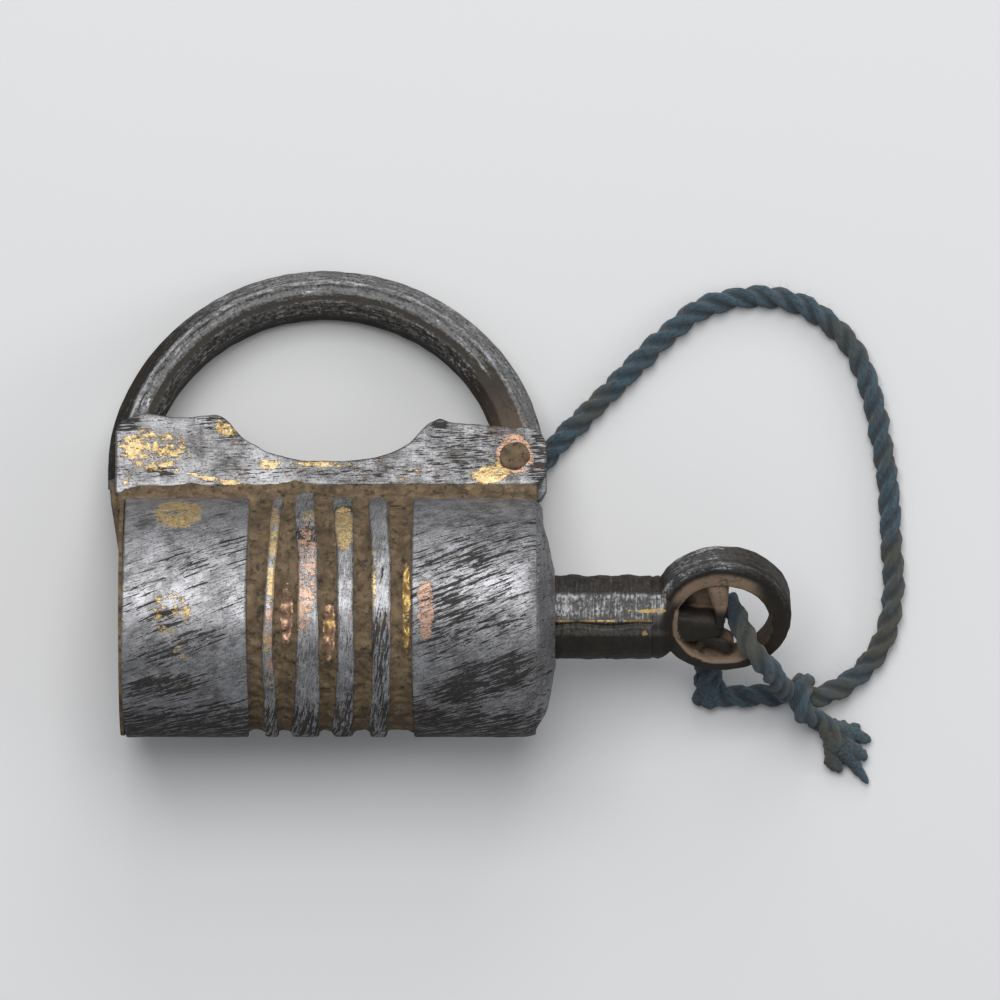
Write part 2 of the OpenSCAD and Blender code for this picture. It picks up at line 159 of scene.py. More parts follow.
def ripples(points, size, seed, waves=16):
    """Smooth random dents from about -1 to 1: sine waves about size metres long, each its own way."""
    rng = np.random.default_rng(seed)
    way = rng.normal(size=(waves, 3))
    way *= (2 * np.pi / size * rng.uniform(0.6, 1.6, waves) / np.linalg.norm(way, axis=1))[:, None]
    phase = rng.uniform(0, 2 * np.pi, waves)
    return np.sin(points @ way.T + phase).sum(-1) / (1.1 * math.sqrt(waves))


def ease(value, low, high):
    """0 below low, 1 above high and a smooth step between them."""
    t = np.clip((value - low) / (high - low), 0, 1)
    return t * t * (3 - 2 * t)


def full_turn(count):
    """Angles at an even spacing, once round."""
    return np.linspace(0, 2 * np.pi, count, endpoint=False)


def dents(points, *layers):
    """Ripples laid over each other, each given by its depth, size in metres and seed."""
    return sum(depth * ripples(points, size, seed) for depth, size, seed in layers)


def softened(values, width, wrap=False):
    """A row of values averaged with its neighbours, width of them each way, so corners become round."""
    if width < 1:
        return values
    kernel = np.hanning(2 * width + 3)[1:-1]
    padded = np.pad(values, width, mode="wrap" if wrap else "edge")
    return np.convolve(padded, kernel / kernel.sum(), mode="valid")


def rounded_loop(corners, count, width):
    """A closed outline sampled at count points, even between its corners, and then softened.

    It gives one row for each of the corners' numbers.
    """
    closed = np.array([*corners, corners[0]], float)
    at = np.linspace(0, len(corners), count, endpoint=False)
    return [softened(np.interp(at, np.arange(len(closed)), line), width, wrap=True) for line in closed.T]


def through(t, stations, values):
    """A smooth line through values at stations: straight pieces, eased at each station."""
    fine = np.linspace(stations[0], stations[-1], 801)
    line = softened(np.interp(fine, stations, values), 12)
    return np.interp(t, fine, line)


def grid_faces(rows, columns, close_rows, close_columns, capped):
    """Quads of a grid of points, with a fan of triangles round an extra middle point at each capped end."""
    i = np.arange(rows if close_rows else rows - 1)[:, None]
    j = np.arange(columns if close_columns else columns - 1)[None, :]
    i2, j2 = (i + 1) % rows, (j + 1) % columns
    quads = np.stack(np.broadcast_arrays(
        i * columns + j, i2 * columns + j, i2 * columns + j2, i * columns + j2), -1)
    fans = []
    if capped:
        k = np.arange(columns)
        k2 = (k + 1) % columns
        end = (rows - 1) * columns
        fans = [np.stack([k, k2, np.full(columns, rows * columns)], -1),
                np.stack([end + k2, end + k, np.full(columns, rows * columns + 1)], -1)]
    return quads.reshape(-1, 4), fans


def outward(points, quads, fans):
    """True if the faces of a closed grid already face out, from the sign of its volume."""
    triangles = np.concatenate([quads[:, [0, 1, 2]], quads[:, [0, 2, 3]]] + fans)
    a, b, c = (points[triangles[:, k]] for k in range(3))
    return np.einsum("ij,ij->i", a, np.cross(b, c)).sum() > 0


def shell(name, grids, fields=None):
    """A mesh object from closed grids of points in metres.

    Each grid is (points, close_rows, close_columns); one that isn't closed along its rows is capped at both
    ends. fields names one number, or one vector, for each point, which its material reads.
    """
    vertices, faces, start = [], [], 0
    for points, close_rows, close_columns in grids:
        rows, columns = points.shape[:2]
        quads, fans = grid_faces(rows, columns, close_rows, close_columns, not close_rows)
        flat = points.reshape(-1, 3)
        if fans:
            flat = np.concatenate([flat, points[0].mean(0)[None], points[-1].mean(0)[None]])
        turned = 1 if outward(flat - flat.mean(0), quads, fans) else -1
        faces += (quads[:, ::turned] + start).tolist()
        for fan in fans:
            faces += (fan[:, ::turned] + start).tolist()
        vertices.append(flat)
        start += len(flat)
    piece = mesh_piece(name, np.concatenate(vertices), faces, fields)
    piece.data.shade_smooth()
    return piece


def mesh_piece(name, vertices, faces, fields=None):
    """A mesh object from vertices, faces and fields, which gives the numbers that its material reads."""
    mesh = bpy.data.meshes.new(name)
    mesh.from_pydata(vertices.tolist(), [], faces)
    for field, values in (fields(vertices) if fields else {}).items():
        kind, entry = ("FLOAT_VECTOR", "vector") if values.ndim == 2 else ("FLOAT", "value")
        mesh.attributes.new(field, kind, "POINT").data.foreach_set(
            entry, np.ascontiguousarray(values, np.float32).ravel())
    piece = bpy.data.objects.new(name, mesh)
    bpy.context.scene.collection.objects.link(piece)
    return piece


def finish_piece(piece, body, key, slot, *nodes):
    """Gives a piece its material, its body and the nodes that it stands for."""
    piece.data.materials.append(material(key))
    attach(piece, body)
    if nodes:
        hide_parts(*nodes)
    return piece


# ---- where braze, soot, painted shade and rust lie: (x, y, half width, half height, turn, strength) in millimetres,
# x from the barrel's left end and y above its axis, as the front is looked at; the long blot along the
# barrel's bottom edge is painted shade ----
BRASS = [
    (6.4, 33.4, 9, 5.4, 0, 0.95), (2.2, 27.8, 2.8, 2.4, 0, 0.8), (19, 27.4, 7, 0.9, -0.14, 1.0),
    (10, 29.2, 9, 0.5, -0.12, 0.95), (20.4, 38.0, 5, 1.9, -0.6, 0.95), (29, 30.4, 4, 1.6, 0.1, 0.95),
    (40.8, 30.6, 8, 0.8, 0, 0.95), (57, 28.4, 3.8, 2.4, 0, 0.9), (74, 28.8, 5.4, 2.6, 0.2, 0.95),
    (34, 27, 3, 0.8, 0, 0.6), (64, 27.6, 3, 0.9, 0.2, 0.6), (47, 28.5, 2, 0.8, 0, 0.5),
    (82.4, 27.5, 1.6, 1.2, 0, 0.6), (11.8, 20.6, 6.4, 3.6, 0.05, 1.05), (10.6, 1, 5.6, 7, 0, 0.78),
    (13.5, -7, 4, 3.2, 0.3, 0.72), (0.4, 6, 1.2, 30, 0, 0.75), (64, 21.6, 3.5, 1.2, 0.2, 0.55),
    (80, 22, 3, 1, 0, 0.5), (30.8, 12, 2.4, 13, 0, 1.0), (30, -4, 2, 8, 0, 0.78),
    (44.6, 17.8, 2.6, 6, 0, 1.0), (50.4, 8, 1.2, 10, 0, 0.9), (37.4, 19, 3, 4, 0, 0.85),
    (37, -2, 2.6, 8, 0, 0.75), (54, 2, 0.9, 8, 0, 0.55), (60, 10, 1.6, 4, 0, 0.6),
]
COPPER = [
    (78.6, 32.6, 4.6, 4.6, 0, 1.15), (37.2, 8, 3, 15, 0, 0.86), (37, -12, 2.4, 9, 0, 0.6),
    (30.4, -2, 2, 15, 0, 0.8), (61, 2.2, 2.3, 8, 0, 0.95), (12, 22, 7, 2, 0, 0.5), (10, -4, 6, 4, 0.2, 0.55),
    (6, 35, 10, 5.5, 0, 0.5), (57, 28, 5, 3, 0, 0.45), (73, 27.5, 6, 2.4, 0, 0.55), (29, 30, 5, 2, 0, 0.45),
    (46, 3, 0.9, 9, 0, 0.5),
]
GROOVE_BRASS = [(57.2, 2.5, 1.0, 12, 0, 0.95), (33.4, 0.7, 1.2, 6.4, 0, 0.7), (42, -2.6, 1.3, 7.2, 0, 0.75),
                (57.2, -8, 1, 5, 0, 0.6)]
GROOVE_COPPER = [(33.4, 1, 1.6, 8, 0, 0.95), (42, -2.6, 1.5, 8, 0, 0.95), (57.2, 6, 1, 8, 0, 0.5),
                 (27, 6, 0.8, 9, 0, 0.45)]
SOOT_AND_SHADE = [
    (0.8, 38.4, 3.4, 1.8, 0.3, 0.8), (83.4, 31.4, 2.2, 6.4, 0, 0.7), (7.4, 29.2, 3.4, 0.5, -0.2, 1.0),
    (8, 0.4, 4, 0.9, 0.3, 1.0), (9.6, -1.6, 3, 0.7, 0.3, 1.0), (8.8, -13.6, 9, 2.6, 0.15, 0.8),
    (12, -5.5, 10, 2.5, 0.3, 0.5), (72.3, -12.6, 12, 4.6, 0.3, 0.85), (72, 12, 13, 7, 0.3, 0.42),
    # (41, -23.5, 70, 7.5) darkens the barrel's whole lower edge: painted shade, not soot
    (66, 0, 9, 9, 0.35, 0.5), (77, 2, 5, 8, 0.35, 0.35), (41, -23.5, 70, 7.5, 0, 0.8),
    (52, -8, 2, 12, 0, 0.7), (70, 33, 13, 5, 0, 0.35), (45, 21.5, 2.4, 0.9, 0, 1.0),
    (63.8, 38.8, 1.6, 1.8, 0, 0.9), (16, 12, 10, 3, 0.3, 0.3), (37.2, 16, 2.6, 2.4, 0, 0.9),
    (20, 38, 6, 2, -0.5, 0.4), (45, 29, 50, 1.0, 0, 0.3),
]


def blots(x, y, spots):
    """How far each point lies inside soft ellipses, as the most of their strengths; 0 outside them all."""
    found = np.zeros(x.shape)
    for sx, sy, half_w, half_h, turn, strength in spots:
        c, s = math.cos(turn), math.sin(turn)
        a = ((x - sx) * c + (y - sy) * s) / half_w
        b = ((y - sy) * c - (x - sx) * s) / half_h
        found = np.maximum(found, strength * np.clip(1.35 - a * a - b * b, 0, 1))
    return found


def wear_fields(vertices):
    """brass, copper, and soot with painted shade for each point: the listed blots in front, and the same list
    turned end for end and pushed along behind, so that the back is as patched as the front.

    grain unrolls the barrel for its scratches: along it, round it from the front, and out from its axis. The
    face of the right end is flat, so there it is the plain place.
    """
    pushed, band_depth = 11, 0.45
    d = (vertices - ORIGIN) / MM
    behind = np.where(d @ TOWARDS_BOW > BAND_R, d @ FRONT < 0, d[:, 2] < -2)
    x = np.where(behind, (DOME_END - d[:, 0] + pushed) % DOME_END, d[:, 0])
    deep = np.hypot(d[:, 1], d[:, 2]) < BAND_R - band_depth
    brass = np.where(deep, blots(x, d[:, 1], GROOVE_BRASS), blots(x, d[:, 1], BRASS))
    copper = np.where(deep, blots(x, d[:, 1], GROOVE_COPPER), blots(x, d[:, 1], COPPER))
    out = np.hypot(d[:, 1], d[:, 2])
    turn = np.arctan2(d @ FRONT, -(d @ TOWARDS_BOW)) - np.pi / 2
    face = ((d[:, 0] > BARREL_END) & (out < BAND_R - 1))[:, None]
    grain = np.where(face, d, np.stack([d[:, 0], turn * BAND_R, out], -1)) * MM
    return {"brass": brass, "copper": copper, "soot": blots(x, d[:, 1], SOOT_AND_SHADE), "grain": grain}


# ---- materials ----
class Nodes:
    """Builds one material's nodes; each call adds a node and returns the socket that it gives out."""

    def __init__(self, name):
        self.material = bpy.data.materials.new(name)
        self.material.use_nodes = True
        self.tree = self.material.node_tree
        self.shader = self.tree.nodes["Principled BSDF"]
        self.place = self.add("ShaderNodeTexCoord").outputs["Object"]

    def add(self, kind, **settings):
        node = self.tree.nodes.new(kind)
        for key, value in settings.items():
            setattr(node, key, value)
        return node

    def put(self, socket, value):
        """Links a socket, or sets a plain value."""
        if isinstance(value, bpy.types.NodeSocket):
            self.tree.links.new(value, socket)
        else:
            socket.default_value = value

    def field(self, name, vector=False):
        return self.add("ShaderNodeAttribute", attribute_name=name).outputs["Vector" if vector else "Fac"]

    def stretched(self, scale, turn=(0, 0, 0), shift=(0, 0, 0), source=None):
        """The place, turned and then scaled by a different amount along each axis."""
        turned = self.add("ShaderNodeMapping", vector_type="TEXTURE")
        self.put(turned.inputs["Vector"], source or self.place)
        turned.inputs["Rotation"].default_value = turn
        scaled = self.add("ShaderNodeMapping")
        self.put(scaled.inputs["Vector"], turned.outputs["Vector"])
        scaled.inputs["Scale"].default_value = scale
        scaled.inputs["Location"].default_value = shift
        return scaled.outputs["Vector"]

    def noise(self, scale, where=None, detail=4, roughness=0.55, distortion=0.0):
        node = self.add("ShaderNodeTexNoise")
        self.put(node.inputs["Vector"], where or self.place)
        for key, value in (("Scale", scale), ("Detail", detail), ("Roughness", roughness),
                           ("Distortion", distortion)):
            node.inputs[key].default_value = value
        return node.outputs["Fac"]

    def cells(self, scale, where=None):
        node = self.add("ShaderNodeTexVoronoi")
        self.put(node.inputs["Vector"], where or self.place)
        node.inputs["Scale"].default_value = scale
        return node.outputs["Distance"]

    def step(self, value, low, high, out_low=0.0, out_high=1.0):
        """value from low to high as out_low to out_high, smooth and held at the ends."""
        node = self.add("ShaderNodeMapRange", interpolation_type="SMOOTHSTEP")
        self.put(node.inputs["Value"], value)
        for key, number in (("From Min", low), ("From Max", high), ("To Min", out_low), ("To Max", out_high)):
            node.inputs[key].default_value = number
        return node.outputs["Result"]

    def sum(self, a, b):
        return self.sums("ADD", a, b)

    def times(self, a, b):
        return self.sums("MULTIPLY", a, b)

    def most(self, a, b):
        return self.sums("MAXIMUM", a, b)

    def sums(self, operation, a, b):
        node = self.add("ShaderNodeMath", operation=operation)
        self.put(node.inputs[0], a)
        self.put(node.inputs[1], b)
        return node.outputs[0]

    def blend(self, amount, a, b):
        """Colour a where amount is 0 and b where it is 1."""
        node = self.add("ShaderNodeMix", data_type="RGBA")
        self.put(node.inputs["Factor"], amount)
        for socket, value in ((node.inputs[6], a), (node.inputs[7], b)):
            self.put(socket, value if isinstance(value, bpy.types.NodeSocket) else (*value, 1))
        return node.outputs[2]

    def finish(self, colour, roughness, metal, height, depth, size=0.0002):
        """Joins colour, roughness, metal and a bump of that depth to the shader."""
        self.put(self.shader.inputs["Base Color"], colour)
        self.put(self.shader.inputs["Roughness"], roughness)
        self.put(self.shader.inputs["Metallic"], metal)
        bump = self.add("ShaderNodeBump")
        bump.inputs["Strength"].default_value = depth
        bump.inputs["Distance"].default_value = size
        self.put(bump.inputs["Height"], height)
        self.put(self.shader.inputs["Normal"], bump.outputs["Normal"])
        return self.material


def colours():
    return bpy.context.scene.padlock_colours


def sizes():
    return bpy.context.scene.padlock_sizes


def patched(n, field, scale, spread=0.0):
    """A field broken up by coarse and fine noise, so that a soft blot becomes flaked islands.

    spread above 0 leaves fewer of them.
    """
    coarse = n.noise(1, n.stretched((scale * 0.25, scale * 0.4, scale * 0.4)), detail=3)
    fine = n.noise(1, n.stretched((scale, scale * 1.5, scale * 1.5)), detail=6, roughness=0.72)
    raised = n.sum(n.times(n.field(field), 0.5), n.sum(n.times(coarse, 0.5), n.times(fine, 0.7)))
    return n.step(raised, 0.99 + spread, 1.02 + spread)


def worn_iron(name, turn, density, tone=1.0, brown_level=0.0, fineness=1.0, unrolled=True):
    """Worn iron: cloudy grey, fine brushing, dark scratches one way, pits, braze residue, and soot with
    painted shade, which crowd the dark scratches and the brown.

    turn is the scratches' direction, density how few there are, fineness how small and tone how light the
    metal is. unrolled scratches run round the barrel by the piece's grain attribute.
    """
    c = colours()
    n = Nodes(name)
    place = n.field("grain", vector=True) if unrolled else None
    cloud = n.noise(110, detail=4)
    fine = n.noise(1, n.stretched((420, 3600, 300), (0, 0, turn), source=place), detail=4, roughness=0.7)
    grain = n.noise(2300, detail=4, roughness=0.75)
    soot = n.field("soot")
    iron, bright, shade = (tuple(v * tone for v in k) for k in (c.iron, c.iron_bright, c.iron_shade))
    base = n.blend(n.step(cloud, 0.35, 0.68), shade, iron)
    rubbed = n.sum(n.times(fine, 0.6), n.times(n.noise(420, detail=5), 0.4))
    base = n.blend(n.step(rubbed, 0.42, 0.62, 0, 0.6), base, bright)
    base = n.blend(n.step(grain, 0.5, 0.68, 0, 0.75), base, c.scale_dark)
    reach = tuple(v * fineness for v in (140, 1600, 130))
    run = n.stretched(reach, (0, 0, turn), source=place)
    long = n.noise(1, run, detail=4, roughness=0.62, distortion=0.3)
    run = n.stretched((420, 3600, 380), (0, 0, turn + 0.07), source=place)
    short = n.noise(1, run, detail=3, roughness=0.6)
    # the soot field crowds the dark scratches and the brown: soot, and painted shade along the barrel's lower
    # edge
    push = n.times(soot, 0.19)
    scratched = n.most(n.step(n.sum(long, push), density, density + 0.03),
                       n.step(n.sum(short, push), density + 0.03, density + 0.06))
    dark = n.times(scratched, n.step(grain, 0.3, 0.45, 0.7, 1.0))
    base = n.blend(n.times(dark, 0.94), base, c.scale_dark)
    mottled = n.sum(n.times(n.noise(160, detail=6, roughness=0.7), 0.7), n.times(grain, 0.3))
    brown = n.step(n.sum(mottled, n.times(soot, 0.06)), 0.56 - brown_level, 0.70 - brown_level)
    base = n.blend(n.times(brown, 0.65), base, c.rust_deep)
    copper = patched(n, "copper", 800)
    brass = patched(n, "brass", 720, 0.03)
    flaw = n.step(grain, 0.44, 0.6, 1.0, 0.3)
    base = n.blend(n.times(copper, flaw), base, c.copper)
    tint = n.blend(n.step(n.noise(900, detail=4), 0.4, 0.65), c.brass, c.brass_pale)
    base = n.blend(n.times(brass, flaw), base, tint)
    residue = n.most(brass, copper)
    rough = n.sum(n.times(dark, 0.2), n.step(cloud, 0.3, 0.7, 0.56, 0.44))
    metal = n.sums("SUBTRACT", 0.8, n.times(dark, 0.5))
    height = n.sum(n.times(n.sums("SUBTRACT", 1.0, dark), 0.6),
                   n.sum(n.times(residue, 0.7), n.times(fine, 0.3)))
    return n.finish(base, rough, metal, height, 0.55)


def rusty_iron(name, warm=0.5):
    """Dull brown iron in the grooves and the neck: clotted rust, dust-pale on its lumps, pitted."""
    c = colours()
    n = Nodes(name)
    lumps = n.noise(260, detail=6, roughness=0.7)
    pits = n.cells(900)
    base = n.blend(n.step(lumps, 0.3, 0.72), c.rust_deep, c.rust)
    base = n.blend(n.step(n.noise(420, detail=4), 0.52, 0.78, 0, warm), base, c.rust_pale)
    base = n.blend(n.step(n.noise(650, detail=5, roughness=0.7), 0.52, 0.64, 0, 0.75), base, c.scale_dark)
    brass = patched(n, "brass", 800)
    copper = patched(n, "copper", 900)
    base = n.blend(copper, base, c.copper)
    base = n.blend(brass, base, c.brass)
    metal = n.times(n.most(brass, copper), 0.8)
    rough = n.step(n.most(brass, copper), 0, 1, 0.86, 0.45)
    height = n.sum(lumps, n.times(pits, 0.4))
    return n.finish(base, rough, metal, height, 0.9, 0.0004)


def forged_iron(name, bright=0.62, brown="rust_deep", gloss=0.58, grained=True, grey=0.85):
    """Dark forged iron: brown-black scale, worn through to grey in streaks and specks where worn is high; on
    the key and the shackle, worn also holds painted highlights and painted shade.

    The streaks follow the piece's grain attribute, if it has one; gloss is the scale's roughness and grey how
    far the mottled wear goes to grey.
    """
    c = colours()
    n = Nodes(name)
    clouds = n.noise(160, detail=5, roughness=0.65)
    speck = n.noise(1500, detail=5, roughness=0.75, distortion=0.2)
    streak = speck
    if grained:
        grain = n.field("grain", vector=True)
        streak = n.noise(1, n.stretched((0.3, 2.2, 2.2), source=grain), roughness=0.65)
    # worn: wear, and on the key and the shackle also painted highlights and painted shade
    worn = n.field("worn")
    tan = n.field("tan")
    base = n.blend(n.step(clouds, 0.38, 0.66), c.forge_dark, getattr(c, brown))
    mottle = n.sum(worn, n.sum(n.times(speck, 0.9), n.times(streak, 0.9)))
    base = n.blend(n.step(mottle, 1.1, 1.45, 0, grey), base, c.iron_grey)
    level = n.sum(n.times(speck, 0.4), n.times(streak, 0.4))
    level = n.sum(n.sum(level, n.times(clouds, 0.35)), n.times(worn, 0.22))
    shine = n.step(level, bright + 0.07, bright + 0.19, 0, 0.75)
    base = n.blend(shine, base, c.iron_bright)
    base = n.blend(n.step(speck, 0.36, 0.46, 0.7, 0), base, c.forge_dark)
    # matte tan where the tan field is high, on the inner faces of the key's bow and on the shackle's right
    # root
    tan_cover = n.times(tan, n.step(n.sum(n.times(speck, 0.6), n.times(clouds, 0.5)), 0.38, 0.54, 0.15, 1))
    base = n.blend(tan_cover, base, c.tan_brown)
    brass = patched(n, "brass", 1000)
    base = n.blend(brass, base, c.brass)
    lit = n.most(shine, brass)
    rough = n.sum(n.step(lit, 0, 1, gloss, 0.38), n.times(tan_cover, 0.3))
    metal = n.times(n.step(lit, 0, 1, 0.3, 0.62), n.sums("SUBTRACT", 1.0, n.times(tan_cover, 0.95)))
    n.shader.inputs["Specular IOR Level"].default_value = 0.35
    height = n.sum(n.times(streak, 0.6), n.sum(n.noise(700, detail=6, roughness=0.7), n.times(shine, 0.3)))
    return n.finish(base, rough, metal, height, 0.8, 0.0003)


def cord_cotton():
    """Dusty blue twisted cotton: yarns winding round each strand, faded crowns, brown stains along it, and
    painted shade in the valleys between strands.
    """
    c = colours()
    n = Nodes("cord_cotton")
    lay = n.field("lay", vector=True)
    yarn = n.noise(1, n.stretched((1.0, 2.6, 2.6), source=lay), detail=5, roughness=0.7)
    fibre = n.noise(2600, detail=3, roughness=0.7)
    stain = n.sum(n.noise(75, detail=3), n.times(n.field("stain"), 0.16))
    base = n.blend(n.step(yarn, 0.35, 0.66), c.cord_deep, c.cord_blue)
    base = n.blend(n.step(fibre, 0.45, 0.75, 0, 0.5), base, c.cord_faded)
    soaked = n.sum(n.times(stain, 0.75), n.times(fibre, 0.25))
    base = n.blend(n.step(soaked, 0.44, 0.58, 0, 0.85), base, c.cord_stain)
    # the valleys between the strands are painted darker: painted shade
    base = n.blend(n.times(n.field("valley"), 0.6), base, c.cord_valley_shade)
    n.shader.inputs["Specular IOR Level"].default_value = 0.15
    n.shader.inputs["Sheen Weight"].default_value = 0.25
    n.shader.inputs["Sheen Roughness"].default_value = 0.6
    rough = n.step(fibre, 0, 1, 0.85, 0.98)
    height = n.sum(yarn, n.times(fibre, 0.7))
    return n.finish(base, rough, 0.0, height, 0.8, 0.0004)


MATERIALS = {}


def material(key):
    """The material of that name, made when it is first asked for."""
    makers = {
        "band": lambda: worn_iron("band_iron", 0.36, 0.615),
        "cheek": lambda: worn_iron("cheek_iron", 0.03, 0.622, tone=0.8, brown_level=0.06, fineness=1.7,
                                   unrolled=False),
        "ring": lambda: worn_iron("ring_iron", 1.42, 0.64, 1.1, 0.03),
        "rust": lambda: rusty_iron("groove_rust"),
        "shackle": lambda: forged_iron("shackle_iron", 0.62, "forge_brown"),
        "key": lambda: forged_iron("key_iron", 0.665, "forge_brown", 0.46, grey=0.3),
        "works": lambda: forged_iron("works_iron", 0.66, grained=False),
        "rivet": lambda: rusty_iron("rivet_rust", 0.0),
        "cord": cord_cotton,
    }
    if key not in MATERIALS:
        MATERIALS[key] = makers[key]()
    return MATERIALS[key]


# ---- shapes that several pieces share ----
def round_loop(left, right, r_out, r_in, edge, columns):
    """A band's section as x and r rows: an outer face with rounded edges, then back along its inside.

    left and right are arrays with one value for each angle, and edge is the rounding at the two sides.
    """
    left, right = np.atleast_1d(left), np.atleast_1d(right)
    t = 0.5 - 0.5 * np.cos(np.linspace(0, np.pi, columns))
    x = left[:, None] + (right - left)[:, None] * t
    r = r_out
    for d, size in ((x - left[:, None], edge[0]), (right[:, None] - x, edge[1])):
        q = np.clip(1 - d / size, 0, 1)
        r = r - size * (1 - np.sqrt(1 - q * q))
    back_x = np.stack([right, left], -1)
    return np.concatenate([x, back_x], 1), np.concatenate([r, np.full(back_x.shape, r_in)], 1)


def open_hoop(left, right, r_out, r_in, edge, columns, rows, dent, seed, crown=0.0, climb=0.0, droop=0.0):
    """A hoop about the barrel that stops at both sides of the neck.

    left(level) and right(level) give its edges. Its outside is pushed in and out by dents that fade to
    nothing on its inside, crown raises its middle above its edges, climb lifts its ends up the neck
    and droop lowers its right end.
    """
    gap = math.asin((NECK_HALF - 0.35) / TUBE_R)
    turn = np.linspace(gap, 2 * np.pi - gap, rows)
    level = turn - TILT
    x, r = round_loop(left(level), right(level), r_out, r_in, edge, columns)
    points = place_round(x, r, level[:, None])
    outside = np.clip((r - r_in) / (r_out - r_in), 0, 1)
    middle = 1 - ((x - x.min(1, keepdims=True)) / np.ptp(x, axis=1, keepdims=True) * 2 - 1) ** 2
    bumps = dents(points, (0.6, 0.016, seed), (0.4, 0.005, seed + 1))
    end = climb * (1 - ease(np.minimum(turn - gap, 2 * np.pi - gap - turn), 0, 0.22))[:, None]
    fall = droop * np.clip((x - x.max() + 3.1) / 2.5, 0, 2) ** 2
    r = r + outside * (dent * bumps + crown * (middle - 1) + end - fall)
    return place_round(x, r, level[:, None])


def path_frames(path):
    """Directions along a line of points and two square to them, carried along without twist.

    Each side direction is the last one with its part along the new direction taken out.
    """
    along = np.gradient(path, axis=0)
    along /= np.linalg.norm(along, axis=1)[:, None]
    side = np.zeros_like(path)
    last = np.array([0.0, 0.0, 1.0])
    for k, way in enumerate(along):
        last = last - (last @ way) * way
        last /= np.linalg.norm(last)
        side[k] = last
    return along, side, np.cross(along, side)


def even_path(route, spacing):
    """Points at an even spacing along a smooth curve through the route.

    Between two route points the curve is the cubic that leaves and arrives along the line between the
    neighbours of each, with its pull in step with the distance (centripetal Catmull-Rom).
    """
    p = np.array(route, float)
    p = np.concatenate([2 * p[:1] - p[1:2], p, 2 * p[-1:] - p[-2:-1]])
    gaps = np.sqrt(np.linalg.norm(np.diff(p, axis=0), axis=1))
    knots = np.concatenate([[0], np.cumsum(gaps)])
    pieces = []
    for k in range(1, len(p) - 2):
        t = np.linspace(knots[k], knots[k + 1], 60, endpoint=False)[:, None]
        t0, t1, t2, t3 = knots[k - 1:k + 3]
        a1 = (t1 - t) / (t1 - t0) * p[k - 1] + (t - t0) / (t1 - t0) * p[k]
        a2 = (t2 - t) / (t2 - t1) * p[k] + (t - t1) / (t2 - t1) * p[k + 1]
        a3 = (t3 - t) / (t3 - t2) * p[k + 1] + (t - t2) / (t3 - t2) * p[k + 2]
        b1 = (t2 - t) / (t2 - t0) * a1 + (t - t0) / (t2 - t0) * a2
        b2 = (t3 - t) / (t3 - t1) * a2 + (t - t1) / (t3 - t1) * a3
        pieces.append((t2 - t) / (t2 - t1) * b1 + (t - t1) / (t2 - t1) * b2)
    fine = np.concatenate(pieces + [p[-2:-1]])
    run = np.concatenate([[0], np.cumsum(np.linalg.norm(np.diff(fine, axis=0), axis=1))])
    at = np.linspace(0, run[-1], int(run[-1] / spacing) + 1)
    return np.stack([np.interp(at, run, fine[:, k]) for k in range(3)], -1), float(run[-1])


def wire(path, radius, sides=10):
    """A round wire of that radius (one value or one for each point) along a path, as a grid."""
    _, side, other = path_frames(path)
    a = full_turn(sides)
    radius = np.broadcast_to(radius, len(path))[:, None, None]
    way = np.cos(a)[None, :, None] * side[:, None] + np.sin(a)[None, :, None] * other[:, None]
    return path[:, None] + radius * way


# ---- properties ----
class PadlockSizes(bpy.types.PropertyGroup):
    """Sizes of the surface detail and of the cord."""

    cord_diameter: FloatProperty(name="Cord diameter", description="Diameter of the twisted cord",
                                 default=0.0046, min=0.003, max=0.0046, unit="LENGTH")
    cord_lay: FloatProperty(name="Cord lay", description="Length along the cord of one turn of a strand",
                            default=0.0144, min=0.008, max=0.03, unit="LENGTH")
    cord_hairs: IntProperty(name="Cord hairs", description="Loose fibres that stand out of the cord",
                            default=2300, min=0, max=6000)
    dents: FloatProperty(name="Dents", description="Depth of the hammer dents, in millimetres",
                         default=0.09, min=0, max=0.5)
    rows: IntProperty(name="Rows", description="Points around the barrel", default=360, min=90, max=720)


def colour_property(name, description, default):
    """A colour that a user may change."""
    return FloatVectorProperty(name=name, description=description, default=default, subtype="COLOR",
                               min=0, max=1, size=3)


